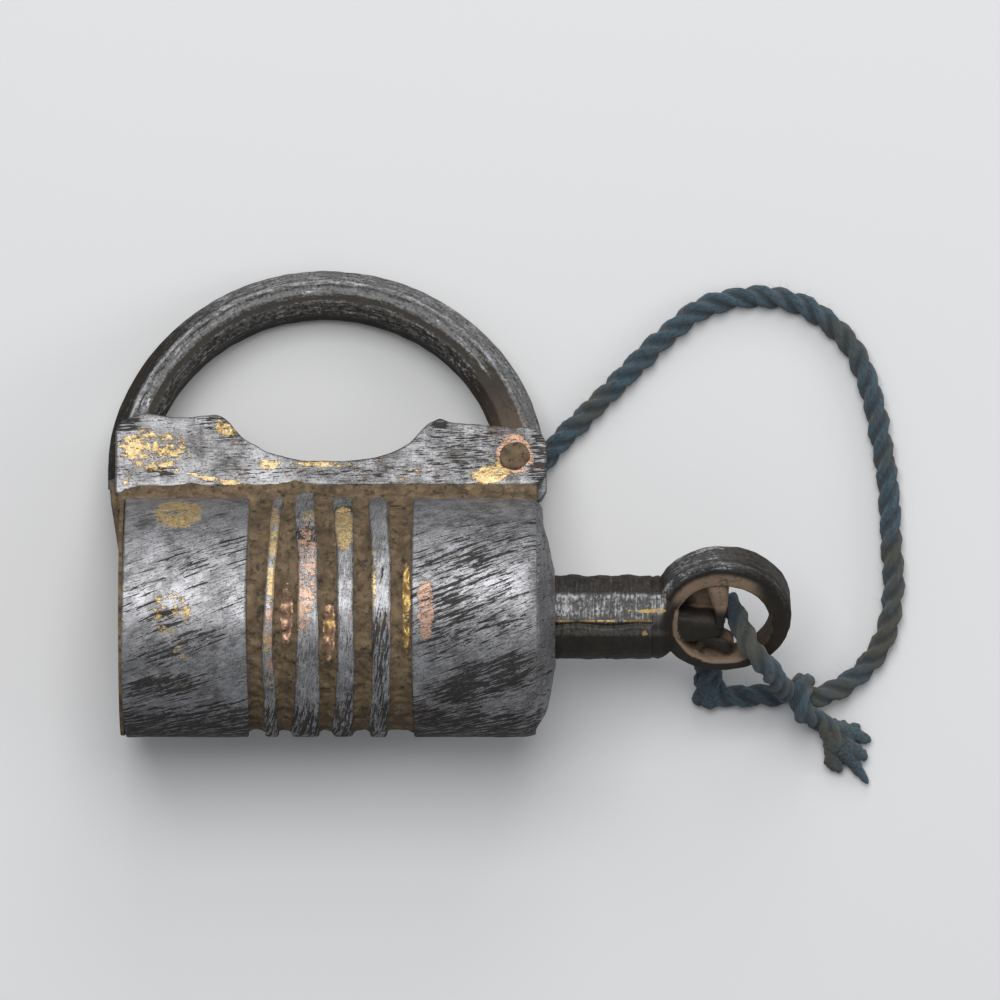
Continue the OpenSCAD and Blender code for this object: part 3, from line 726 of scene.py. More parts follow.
class PadlockColours(bpy.types.PropertyGroup):
    """Colours of the iron, the braze, the rust, the cord and the floor."""

    iron: colour_property("Iron", "Worn iron", (0.34, 0.34, 0.352))
    iron_bright: colour_property("Bright iron", "Freshly rubbed iron", (0.62, 0.62, 0.645))
    iron_shade: colour_property("Shaded iron", "Duller iron", (0.16, 0.157, 0.157))
    iron_grey: colour_property("Grey iron", "Forged iron rubbed to a dull grey", (0.20, 0.20, 0.20))
    scale_dark: colour_property("Scale", "Black scale left in scratches", (0.018, 0.0165, 0.016))
    forge_dark: colour_property("Forged iron", "Dark forged iron", (0.028, 0.024, 0.02))
    forge_brown: colour_property("Forge brown", "Brown cast of the key's scale", (0.040, 0.032, 0.024))
    rust: colour_property("Rust", "Rust brown", (0.215, 0.150, 0.085))
    rust_deep: colour_property("Deep rust", "Dark rust", (0.075, 0.050, 0.027))
    rust_pale: colour_property("Dusty rust", "Dust-pale rust", (0.38, 0.27, 0.15))
    # the tan laid on the inner faces of the key's bow and on the shackle's right root
    tan_brown: colour_property("Tan rust", "Dry tan rust inside the key's bow", (0.27, 0.19, 0.13))
    brass: colour_property("Brass", "Yellow braze", (0.60, 0.40, 0.145))
    brass_pale: colour_property("Pale brass", "Rubbed braze", (0.74, 0.58, 0.30))
    copper: colour_property("Copper", "Pink copper braze", (0.58, 0.36, 0.25))
    cord_blue: colour_property("Cord", "Dusty blue cotton", (0.062, 0.105, 0.133))
    cord_deep: colour_property("Cord shade", "Deeper blue", (0.022, 0.050, 0.078))
    cord_faded: colour_property("Cord faded", "Faded fibres", (0.135, 0.175, 0.190))
    cord_stain: colour_property("Cord stain", "Olive-brown stain", (0.078, 0.071, 0.049))
    # the valley colour is painted shade in the valleys between the strands
    cord_valley_shade: colour_property("Cord valley", "Dirt between the strands", (0.016, 0.022, 0.026))
    floor: colour_property("Floor", "Pale grey floor", (0.80, 0.80, 0.80))


# ---- operators ----
class PADLOCK_OT_camera(bpy.types.Operator):
    """Looks straight down on the lock as it lies, with a long lens"""
    bl_idname = "padlock.camera"
    bl_label = "Camera"

    def execute(self, context):
        field_mm, sensor_mm, far = 200.0, 36, 3.0
        middle_x, middle_y = 0.01024, 0.00096
        data = bpy.data.cameras.new("camera")
        data.sensor_width = sensor_mm
        level = 0.5 * sum(corner[2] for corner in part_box("left_band"))
        data.lens = sensor_mm * far / (field_mm * MM)
        data.clip_end = 20
        camera = bpy.data.objects.new("camera", data)
        camera.location = (middle_x, middle_y, far + level)
        context.scene.collection.objects.link(camera)
        context.scene.camera = camera
        return {"FINISHED"}


class PADLOCK_OT_stage(bpy.types.Operator):
    """A pale floor, soft lamps and an even grey surround"""
    bl_idname = "padlock.stage"
    bl_label = "Floor and light"

    def execute(self, context):
        scene = context.scene
        scene.view_settings.view_transform = "Standard"
        side = 3.0
        corners = np.array([(-side, -side, 0), (side, -side, 0), (side, side, 0), (-side, side, 0)])
        floor = mesh_piece("floor", corners, [(0, 1, 2, 3)])
        paper = Nodes("floor_paper")
        seen = paper.add("ShaderNodeLightPath").outputs["Is Camera Ray"]
        tone = tuple(colours().floor)
        # the iron sees a darker floor than the camera does
        mirrored = tuple(v * 0.42 for v in tone)
        paper.put(paper.shader.inputs["Base Color"], paper.blend(seen, mirrored, tone))
        paper.shader.inputs["Roughness"].default_value = 0.9
        paper.shader.inputs["Specular IOR Level"].default_value = 0.1
        floor.data.materials.append(paper.material)
        lamps = [("key_lamp", (-0.1, 0.56, 1.45), 1.0, 14.5), ("top_lamp", (0.2, 1.3, 0.85), 0.8, 5.0),
                 ("side_lamp", (1.3, 0.1, 0.6), 0.6, 3.0)]
        for name, where, width, power in lamps:
            data = bpy.data.lights.new(name, "AREA")
            data.size = width
            data.energy = power
            lamp = bpy.data.objects.new(name, data)
            lamp.location = where
            way = np.array(where) / np.linalg.norm(where)
            lamp.rotation_euler = (math.acos(way[2]), 0, math.atan2(way[1], way[0]) + math.pi / 2)
            scene.collection.objects.link(lamp)
        world = bpy.data.worlds.new("surround")
        world.use_nodes = True
        back = world.node_tree.nodes["Background"]
        back.inputs["Color"].default_value = (0.8, 0.82, 0.86, 1)
        back.inputs["Strength"].default_value = 0.32
        scene.world = world
        return {"FINISHED"}


class PADLOCK_OT_cord(bpy.types.Operator):
    """The twisted cord, from under the lock to its knot, through the key's bow and to its frayed end"""
    bl_idname = "padlock.cord"
    bl_label = "Cord"

    def execute(self, context):
        s = sizes()
        path, length = even_path(CORD_ROUTE + LOOP_ROUTE + HITCH_ROUTE + TAIL_ROUTE, 0.00045)
        run = np.linspace(0, length, len(path))
        rope = self.rope(path, run, s)
        finish_piece(rope, "cord_run", "cord", "blue_cord",
                     "cord", "cord_knot", "cord_bow_loop", "cord_frayed_end")
        fray = finish_piece(self.fray(path), "cord_run", "cord", "blue_cord")
        hairs = finish_piece(self.hairs(path, s), "cord_run", "cord", "blue_cord")
        return {"FINISHED"}

    def rope(self, path, run, s):
        """Three round strands twisted together, as one surface.

        At each angle the radius is that of whichever strand's circle reaches furthest out, kept above the
        packed middle, and the pattern turns once in each lay length. The cord swells where it is bent
        sharply or loosened, and narrows to a blunt end where it is cut.
        """
        half = s.cord_diameter / 2
        strand = half * 0.5
        packed = 0.72
        off = half - strand
        sides = 48
        angle = full_turn(sides)[None, :]
        twist = 2 * np.pi * run[:, None] / s.cord_lay
        phase = angle - twist
        around = np.mod(phase, 2 * np.pi / 3) - np.pi / 3
        reach = off * np.cos(around) + np.sqrt(np.maximum(strand ** 2 - (off * np.sin(around)) ** 2, 0))
        reach = np.maximum(reach, half * packed)
        loose = np.exp(-((run - self.run_at(path, run, CORD_BEND[:2])) / 0.004) ** 2)
        taper = ease(run, 0, 0.0012) * 0.35 + 0.65
        _, side, other = path_frames(path)
        way = np.cos(angle)[..., None] * side[:, None] + np.sin(angle)[..., None] * other[:, None]
        swell = (1 + 0.22 * loose)[:, None] * taper[:, None]
        points = path[:, None] + (reach * swell)[..., None] * way
        lumps = dents(points, (0.00010, 0.0022, 5), (0.00012, 0.007, 6))
        points = points + lumps[..., None] * way
        points[..., 2] = np.maximum(points[..., 2], 0.00005)
        # valley: where the strands dip between each other, which the cord's material paints darker as shade
        valley = 1 - ease(reach / half, packed, 0.88)
        lay = np.stack([np.broadcast_to(run[:, None] * 420, reach.shape) + around * 3.2,
                        np.cos(angle) * 1.5 + 0 * reach, np.sin(angle) * 1.5 + 0 * reach], -1)

        stain = sum(strength * np.exp(-((run - self.run_at(path, run, spot, past)) / wide) ** 2)
                    for spot, past, wide, strength in STAINS)[:, None] + CLEAN + 0 * reach

        def fields(vertices):
            extra = len(vertices) - valley.size
            return {"valley": np.concatenate([valley.ravel(), np.zeros(extra)]),
                    "stain": np.concatenate([stain.ravel(), np.zeros(extra)]),
                    "lay": np.concatenate([lay.reshape(-1, 3), np.zeros((extra, 3))])}

        return shell("twisted_cord", [(points, False, True)], fields)

    @staticmethod
    def run_at(path, run, spot, past=0.6):
        """How far along the path, past that share of it, it comes nearest to a spot seen from above."""
        near = np.linalg.norm(path[:, :2] - np.array(spot), axis=1) + (run < run[-1] * past)
        return run[near.argmin()]

    def fray(self, path):
        """Soft tufts that fan out of the cut end, and out of the flattened bend under the key's bow.

        Each is a thick yarn from a root in the cord to a tip; the lists give tips and thicknesses.
        """
        rng = np.random.default_rng(11)
        fan = [((0.0826, -0.0442), 1.4), ((0.0850, -0.0476), 1.45), ((0.0844, -0.0562), 1.1),
               ((0.0790, -0.0538), 1.35), ((0.0842, -0.0512), 1.45), ((0.0806, -0.0508), 1.8),
               ((0.0832, -0.0540), 1.4), ((0.0826, -0.0486), 1.7), ((0.0802, -0.0466), 1.8),
               ((0.0814, -0.0524), 1.6), ((0.0786, -0.0500), 1.6)]
        grids = []
        for (tx, ty), thick in fan:
            root = path[-int(rng.uniform(2, 14))] + rng.normal(0, 0.0004, 3)
            grids.append(self.tuft(root, (tx, ty, 0.0015), thick * MM, rng))
        bend = path[np.linalg.norm(path - np.array(CORD_BEND), axis=1).argmin()]
        for tip, thick in (((0.0496, -0.0402, 0.0016), 1.5), ((0.0502, -0.0366, 0.002), 1.7),
                           ((0.0502, -0.0340, 0.0024), 1.5), ((0.0530, -0.0410, 0.002), 1.6),
                           ((0.0514, -0.0384, 0.0026), 2.0), ((0.0548, -0.0402, 0.002), 1.5)):
            grids.append(self.tuft(bend + rng.normal(0, 0.0005, 3), tip, thick * MM, rng))
        return shell("frayed_tufts", [(g, False, True) for g in grids], self.plain_fields)

    @staticmethod
    def tuft(root, tip, thick, rng):
        """A soft lock of yarns bent from root to tip, swollen at its middle, blunt and lumpy at its tip."""
        t = np.linspace(0, 1, 26)[:, None]
        path = root + (np.array(tip) - root) * t + np.sin(np.pi * t) * rng.normal(0, 0.0005, 3)
        path[:, 2] = np.maximum(path[:, 2], thick * 0.8)
        blunt = np.sqrt(np.clip(1.02 - t[:, 0] ** 6, 0.04, 1))
        points = wire(path, thick * (0.85 + 0.25 * np.sin(np.pi * t[:, 0])) * blunt, 14)
        away = points - path[:, None]
        groove = ripples(points, 0.0012, int(rng.integers(999)))
        points = path[:, None] + away * (1 + 0.22 * groove[..., None])
        points[..., 2] = np.maximum(points[..., 2], 0.0001)
        return points

    @staticmethod
    def plain_fields(vertices):
        """Yarn fields for loose fibres: no valleys, and the place itself as the lay."""
        count = len(vertices)
        return {"valley": np.zeros(count), "stain": np.full(count, CLEAN), "lay": vertices * 900}

    def hairs(self, path, s):
        """Fine loose fibres, each a thin three-sided curl that leaves the cord's surface."""
        rng = np.random.default_rng(3)
        _, side, other = path_frames(path)
        count, steps = s.cord_hairs, 5
        k = rng.integers(4, len(path) - 2, count)
        a = rng.uniform(0, 2 * np.pi, count)
        out = np.cos(a)[:, None] * side[k] + np.sin(a)[:, None] * other[k]
        along = np.gradient(path, axis=0)[k]
        along /= np.linalg.norm(along, axis=1)[:, None]
        lean = along * rng.normal(0, 1, (count, 1)) + rng.normal(0, 0.5, (count, 3))
        size = rng.gamma(2.0, 0.00028, count)[:, None, None]
        t = np.linspace(0, 1, steps)[None, :, None]
        root = path[k] + out * s.cord_diameter * 0.40
        spine = root[:, None] + size * (t * out[:, None] * 0.9 + t * t * lean[:, None] * 0.8)
        spine[..., 2] = np.maximum(spine[..., 2], 0.0001)
        across = np.cross(out, along)
        corner = (2 * np.pi * np.arange(3) / 3)[None, None, :, None]
        ring = np.cos(corner) * along[:, None, None] + np.sin(corner) * across[:, None, None]
        thick = 0.000022 * (1 - 0.6 * t)[..., None]
        points = spine[:, :, None] + thick * ring
        vertices = points.reshape(-1, 3)
        i = np.arange(count)[:, None, None] * steps * 3
        j = np.arange(steps - 1)[None, :, None] * 3
        m = np.arange(3)[None, None, :]
        m2 = (m + 1) % 3
        quads = np.stack(np.broadcast_arrays(
            i + j + m, i + j + m2, i + j + 3 + m2, i + j + 3 + m), -1).reshape(-1, 4)
        first = np.arange(count)[:, None] * steps * 3
        ends = np.concatenate([first + [[2, 1, 0]], first + (steps - 1) * 3 + [[0, 1, 2]]])
        return mesh_piece("cord_hairs", vertices, quads.tolist() + ends.tolist(), self.plain_fields)


class PADLOCK_OT_bands(bpy.types.Operator):
    """The two wide bands of the barrel"""
    bl_idname = "padlock.bands"
    bl_label = "Bands"

    def execute(self, context):
        s = sizes()
        x0, x1 = span("left_band")
        left = open_hoop(lambda a: x0 + 0.25 * np.sin(a * 2 + 1), lambda a: x1 + 0.2 * np.sin(a * 3) + 0 * a,
                         BAND_R, TUBE_R - 0.2, (0.5, 0.5), 90, s.rows, s.dents, 21)
        finish_piece(shell("left_band_iron", [(left, False, True)], wear_fields), "lock_body",
                     "band", "polished_iron", "left_band")
        x2, x3 = span("right_band")
        right = open_hoop(lambda a: x2 + 0.25 * np.sin(a * 2 + 2), lambda a: x3 + 0.6 + 0 * a,
                          BAND_R, TUBE_R - 0.2, (0.5, 0.03), 90, s.rows, s.dents, 31, droop=0.35)
        finish_piece(shell("right_band_iron", [(right, False, True)], wear_fields), "lock_body",
                     "band", "polished_iron", "right_band")
        return {"FINISHED"}


# edges of the rings at the top, front and bottom of the barrel, in millimetres from its left end
RING_EDGES = {
    "ring_1": ((30.6, 28.8, 29.0), (32.6, 30.8, 31.6)),
    "ring_2": ((34.8, 35.6, 34.2), (38.8, 39.8, 39.6)),
    "ring_3": ((42.4, 43.6, 42.4), (46.4, 46.8, 46.4)),
    "ring_4": ((49.6, 50.4, 49.8), (53.2, 54.2, 53.2)),
}
# how far each ring's ends climb the neck
RING_CLIMB = (0.5, 1.5, 0.3, 0.5)


class PADLOCK_OT_rings(bpy.types.Operator):
    """Four narrow hand-made hoops, each with edges that wander"""
    bl_idname = "padlock.rings"
    bl_label = "Rings"

    def execute(self, context):
        s = sizes()
        for k, (node, (low, high)) in enumerate(RING_EDGES.items()):
            hoop = open_hoop(self.edge(low, k), self.edge(high, k + 7), BAND_R, TUBE_R - 0.2, (0.5, 0.5), 30,
                             s.rows, s.dents * 1.2, 41 + 3 * k, crown=0.12, climb=RING_CLIMB[k])
            finish_piece(shell(node + "_iron", [(hoop, False, True)], wear_fields), "lock_body",
                         "ring", "ringed_iron", node)
        return {"FINISHED"}

    @staticmethod
    def edge(places, seed):
        """An edge that passes three places over the front, is mirrored behind, and wavers by 0.2 mm."""
        rng = np.random.default_rng(60 + seed)
        phase = rng.uniform(0, 6.28, 4)
        top, mid, bottom = places

        def at(level):
            c = np.cos(level)
            line = mid + (top - bottom) / 2 * c + ((top + bottom) / 2 - mid) * c * c
            waver = sum(np.sin(level * f + p) / f for f, p in zip((5, 9, 17, 31), phase))
            return line + 0.55 * waver
        return at


# ---- the cheek's outline seen from above: x from the barrel's left end and height above its axis ----
CHEEK_TOP = [(-1.2, 37.0), (-0.9, 38.6), (0.3, 39.7), (1.8, 40.2), (4.4, 41.0), (8.4, 40.4), (11, 40.0),
             (16.4, 40.4), (19.6, 40.6), (21.6, 39.2), (24.2, 36.0), (29, 33.2), (33, 32.0), (36.8, 31.3),
             (44.8, 31.3), (50.2, 32.0), (54.8, 33.2), (58.2, 35.2), (60.2, 37.6), (62, 39.2), (63.8, 40.1),
             (65, 39.3), (66, 39.0), (71.4, 38.6), (80, 38.2), (82.4, 37.8), (83.8, 37.1), (84.8, 36.0),
             (85.2, 34.4)]
CHEEK_BOTTOM = [(-1.2, 25.0), (-0.4, 24.2), (1.2, 25.2), (4, 26), (16, 26), (36, 26.2), (56, 26.4),
                (83, 26.4), (84.4, 27.4), (85.2, 29.4)]


def rounded_section(low, high, back, front, corner, across, through_it):
    """Loops of points of a plate: from low to high along u and back to front along w, with rounded corners.

    low and high have one value for each station. across and through_it are the points on the long and the
    short sides; each corner is a quarter circle.
    """
    half = (high - low)[:, None] / 2
    middle = (high + low)[:, None] / 2
    thick, centre = (front - back) / 2, (front + back) / 2
    quarter = np.linspace(0, np.pi / 2, 5)
    arcs = [(middle + side_u * (half - corner) + corner * np.cos(quarter + k * np.pi / 2),
             centre + side_w * (thick - corner) + corner * np.sin(quarter + k * np.pi / 2) + 0 * half)
            for k, (side_u, side_w) in enumerate(((1, 1), (-1, 1), (-1, -1), (1, -1)))]
    loops = []
    for k, arc in enumerate(arcs):
        t = np.linspace(0, 1, (across, through_it)[k % 2] + 2)[None, 1:-1]
        loops.append(arc)
        loops.append([here[:, -1:] * (1 - t) + then[:, :1] * t for here, then in zip(arc, arcs[(k + 1) % 4])])
    return tuple(np.concatenate(part, 1) for part in zip(*loops))


class PADLOCK_OT_cheeks(bpy.types.Operator):
    """The two forged cheek plates, with their hollowed upper edge"""
    bl_idname = "padlock.cheeks"
    bl_label = "Cheeks"

    def execute(self, context):
        for node, side, seed in (("front_cheek", 1, 71), ("rear_cheek", -1, 75)):
            plate = self.plate(side, seed)
            finish_piece(shell(node + "_plate", [(plate, False, True)], wear_fields), "lock_body",
                         "cheek", "polished_iron", node)
        return {"FINISHED"}

    @staticmethod
    def plate(side, seed):
        """Sections across the plate at stations along x, between the outline's lower and upper edges."""
        left, right = CHEEK_TOP[0][0], CHEEK_TOP[-1][0]
        t = np.linspace(0, 1, 330)
        x = left + (right - left) * (t + 0.06 * np.sin(2 * np.pi * t) * -0.5)
        seen = CHEEK_OUT * math.sin(TILT)
        top = (through(x, *np.array(CHEEK_TOP).T) - seen) / math.cos(TILT)
        bottom = (through(x, *np.array(CHEEK_BOTTOM).T) - seen) / math.cos(TILT)
        edge = np.stack([x, 0 * x, 0 * x + seed], -1) * MM
        top = top + 0.10 * ripples(edge, 0.006, seed) + 0.05 * ripples(edge, 0.002, seed + 1)
        bottom = bottom + 0.12 * ripples(edge, 0.008, seed + 2)
        u, w = rounded_section(bottom, top, CHEEK_IN, CHEEK_OUT, 0.55, 18, 2)
        ends = 0.6
        q = np.clip(1 - np.minimum(x - left, right - x) / ends, 0, 1)[:, None]
        pull = 0.45 * (1 - np.sqrt(1 - q * q))
        middle_u, middle_w = (top + bottom)[:, None] / 2, (CHEEK_IN + CHEEK_OUT) / 2
        u = u - pull * np.sign(u - middle_u)
        w = w - pull * np.sign(w - middle_w) * 0.9
        points = place(x[:, None], u, side * w)
        front = ease(w, CHEEK_OUT - 0.8, CHEEK_OUT - 0.1)
        w = w + front * dents(points, (0.13, 0.012, seed + 3), (0.05, 0.003, seed + 4))
        return place(x[:, None], u, side * w)


class PADLOCK_OT_neck(bpy.types.Operator):
    """The braze that fills the corner between each cheek and the bands"""
    bl_idname = "padlock.neck"
    bl_label = "Neck braze"

    def execute(self, context):
        grids = [(self.fillet(side), False, True) for side in (1, -1)]
        piece = shell("neck_braze", grids, wear_fields)
        finish_piece(piece, "lock_body", "rust", "rusty_iron")
        return {"FINISHED"}

    @staticmethod
    def fillet(side):
        """A hollow fillet: its section runs from the cheek's foot down to the bands and back inside."""
        w, u = rounded_loop([(7.2, 26.6), (7.5, 25.5), (7.85, 24.4), (8.5, 23.3), (9.6, 22.2), (10.0, 21.2),
                             (9.8, 20.0), (8.4, 20.4), (6.4, 21.6), (6.0, 24.0), (6.0, 25.6), (6.3, 26.6)],
                            66, 2)
        left, right = -0.6, 83.2
        x = np.linspace(left, right, 300)[:, None]
        points = place(x, u, side * w)
        free = ease(w, 6.6, 7.4)
        free = free * (1.1 - 0.8 * ease(u, 24.5, 26))
        bump = free * dents(points, (0.22, 0.007, 77 + side), (0.12, 0.0025, 79 + side))
        shrink = 1 - 0.35 * (1 - ease(np.minimum(x - left, right - x), 0, 2.2))
        w = NECK_HALF + (w - NECK_HALF) * shrink + bump * 0.8
        return place(x, u + bump * 0.6, side * w)


class PADLOCK_OT_rivet(bpy.types.Operator):
    """The hinge rivet, hammered over at both ends"""
    bl_idname = "padlock.rivet"
    bl_label = "Rivet"

    def execute(self, context):
        half = [(0.0, 2.48), (7.3, 2.48), (7.5, 2.7), (7.62, 2.9), (7.9, 2.95), (8.1, 2.75), (8.24, 2.3),
                (8.32, 1.5), (8.36, 0.6)]
        w = np.array([-a for a, _ in half[::-1]] + [a for a, _ in half[1:]])
        r = np.array([b for _, b in half[::-1]] + [b for _, b in half[1:]])
        a = full_turn(72)
        head = ease(np.abs(w), 7.4, 7.7)[:, None]
        lump = 1 + head * (0.05 * np.sin(2 * a + 0.6) + 0.03 * np.sin(5 * a + 2))[None, :]
        points = place(RIVET_X + r[:, None] * lump * np.cos(a), RIVET_U + r[:, None] * lump * np.sin(a),
                       w[:, None] + 0.05 * head * np.sin(3 * a + 1)[None, :])
        finish_piece(shell("rivet", [(points, False, True)]), "lock_body", "rivet",
                     "rusty_iron", "hinge_rivet")
        return {"FINISHED"}


class PADLOCK_OT_dome(bpy.types.Operator):
    """The right end, slightly domed, with the keyhole through its middle"""
    bl_idname = "padlock.dome"
    bl_label = "Right end"

    def execute(self, context):
        bore = 8.8
        profile = [(80.6, bore), (86.5, bore), (86.75, 9.0), (86.8, 9.6), (86.5, 11), (86.1, 13), (85.7, 15),
                   (85.15, 17.4), (84.6, 19.4), (84.15, 21), (83.7, 22.15), (83.2, 22.88),
                   (82.7, BAND_R - 0.6), (82.4, BAND_R - 0.46), (82.1, BAND_R - 0.48), (81.6, BAND_R - 0.7),
                   (81.0, BAND_R - 1.2), (80.6, 21.5), (80.5, 20.4)]
        x, r = rounded_loop(profile, 140, 2)
        level = full_turn(sizes().rows)[:, None]
        face = ease(x, 82.6, 84) * ease(r, 9, 10)
        points = place_round(x, r, level)
        bump = dents(points, (0.10, 0.011, 91), (0.04, 0.003, 92))
        lean = 0.045 * ease(r, 18, 23) - 0.02
        x = x + face * (lean * r * np.cos(level) + bump)
        dent = sizes().dents * dents(points, (0.6, 0.016, 31), (0.4, 0.005, 32))
        r = r + ease(r, 21.5, 23.2) * dent
        finish_piece(shell("right_end_iron", [(place_round(x, r, level), True, True)], wear_fields),
                     "lock_body", "band", "polished_iron", "right_end_cap")
        return {"FINISHED"}


# braze beads on the grooves' floor: x, lowest and highest y, width and height, in millimetres
BEADS = [(33.2, -5.4, 6.8, 0.9, 1.2), (41.8, -9.8, 4.6, 0.8, 1.0), (57.2, -6.6, 12.6, 0.7, 0.8),
         (27.2, -16, -4, 0.8, 0.5), (41.4, 14, 21, 0.8, 0.5)]


class PADLOCK_OT_grooves(bpy.types.Operator):
    """The rusted floor of the grooves, with braze that ran down it"""
    bl_idname = "padlock.grooves"
    bl_label = "Grooves"

    def execute(self, context):
        left, right = span("left_band")[1] - 0.3, span("right_band")[0] + 0.3
        gap = math.asin((NECK_HALF - 0.2) / TUBE_R)
        level = (np.linspace(gap, 2 * np.pi - gap, sizes().rows) - TILT)[:, None]
        x = np.linspace(left, right, 170)[None, :]
        points = place_round(x, TUBE_R, level)
        high = 0.12 + 0.16 * ripples(points, 0.006, 51) + 0.12 * ripples(points, 0.0022, 52)
        edges = [(lambda a, v=v: v + 0 * a) for v in (left + 0.3, right - 0.3)]
        for k, (low_edge, high_edge) in enumerate(RING_EDGES.values()):
            edges += [PADLOCK_OT_rings.edge(low_edge, k), PADLOCK_OT_rings.edge(high_edge, k + 7)]
        for edge in edges:
            high = high + 0.5 * np.exp(-((x - edge(level)) / 0.6) ** 2)
        y = TUBE_R * np.cos(level)
        front = np.sin(level) > 0
        for bx, low_y, high_y, wide, tall in BEADS:
            shape = np.exp(-((x - bx - 0.3 * np.sin(y * 1.3 + bx)) / wide) ** 2)
            shape = shape * ease(y, low_y - 1, low_y + 1) * (1 - ease(y, high_y - 1, high_y + 1))
            high = high + front * tall * shape * (0.75 + 0.35 * np.sin(y * 2.1 + bx * 3))
        high = np.clip(high, 0.02, 1.45)
        back = np.array([right, left])[None, :] + 0 * level
        x = np.concatenate([x + 0 * level, back], 1)
        r = np.concatenate([TUBE_R + high, 0 * back + TUBE_R - 0.5], 1)
        skin = place_round(x, r, level)
        piece = shell("groove_rust_skin", [(skin, False, True)], wear_fields)
        finish_piece(piece, "lock_body", "rust", "rusty_iron")
        return {"FINISHED"}


def shackle_fields(vertices):
    """worn is high on the bow's outer facet, where it fades towards the left foot as painted shade, and lower
    inside it; bright lines of edge wear and painted highlight run along its crest and its inner edge. tan is
    the brown of its right root, and brass the braze beside that.
    """
    d = vertices - ORIGIN
    x, u, w = ((d @ way) / MM for way in (ALONG, TOWARDS_BOW, FRONT))
    radius = np.hypot(x - BOW_X, u - BOW_U)
    turn = np.arctan2(u - BOW_U, x - BOW_X)
    outer = ease(radius, 40.2, 42.4)
    facet = 0.32 * (1 - ease(radius, 37, 37.6)) * ease(w, -1.5, 1.5) * ease(turn, 0.35, 0.8)
    # the bright lines along the ridge and along the inner edge are edge wear and painted highlight
    crest_wear_and_highlight = np.exp(-((radius - 41.2) / 0.55) ** 2) * ease(np.abs(w), 2.5, 4)
    speckle = np.exp(-((radius - 39.3) / 1.1) ** 2) * ease(turn, 0.4, 0.8) * ease(np.abs(w), 2.5, 4)
    inner = np.exp(-((radius - 35.4) / 0.35) ** 2 - ((w + 2.6) / 0.8) ** 2)
    # the outer facet's wear fades towards the left foot: painted shade
    outside = (0.55 - 0.4 * ease(turn, 1.9, 2.6)) * outer
    return {"worn": np.maximum(outside, 0.85 * crest_wear_and_highlight) + 0.6 * speckle + 0.7 * inner + facet,
            "grain": np.stack([turn * 41, radius, w], -1),
            "tan": 0.45 * (1 - ease(turn, 0.15, 0.6)) * (1 - outer) + 0 * w,
            "brass": 0.45 * np.exp(-((turn - 0.28) / 0.09) ** 2) * (1 - ease(radius, 37, 39)),
            "copper": 0 * x, "soot": 0 * x}


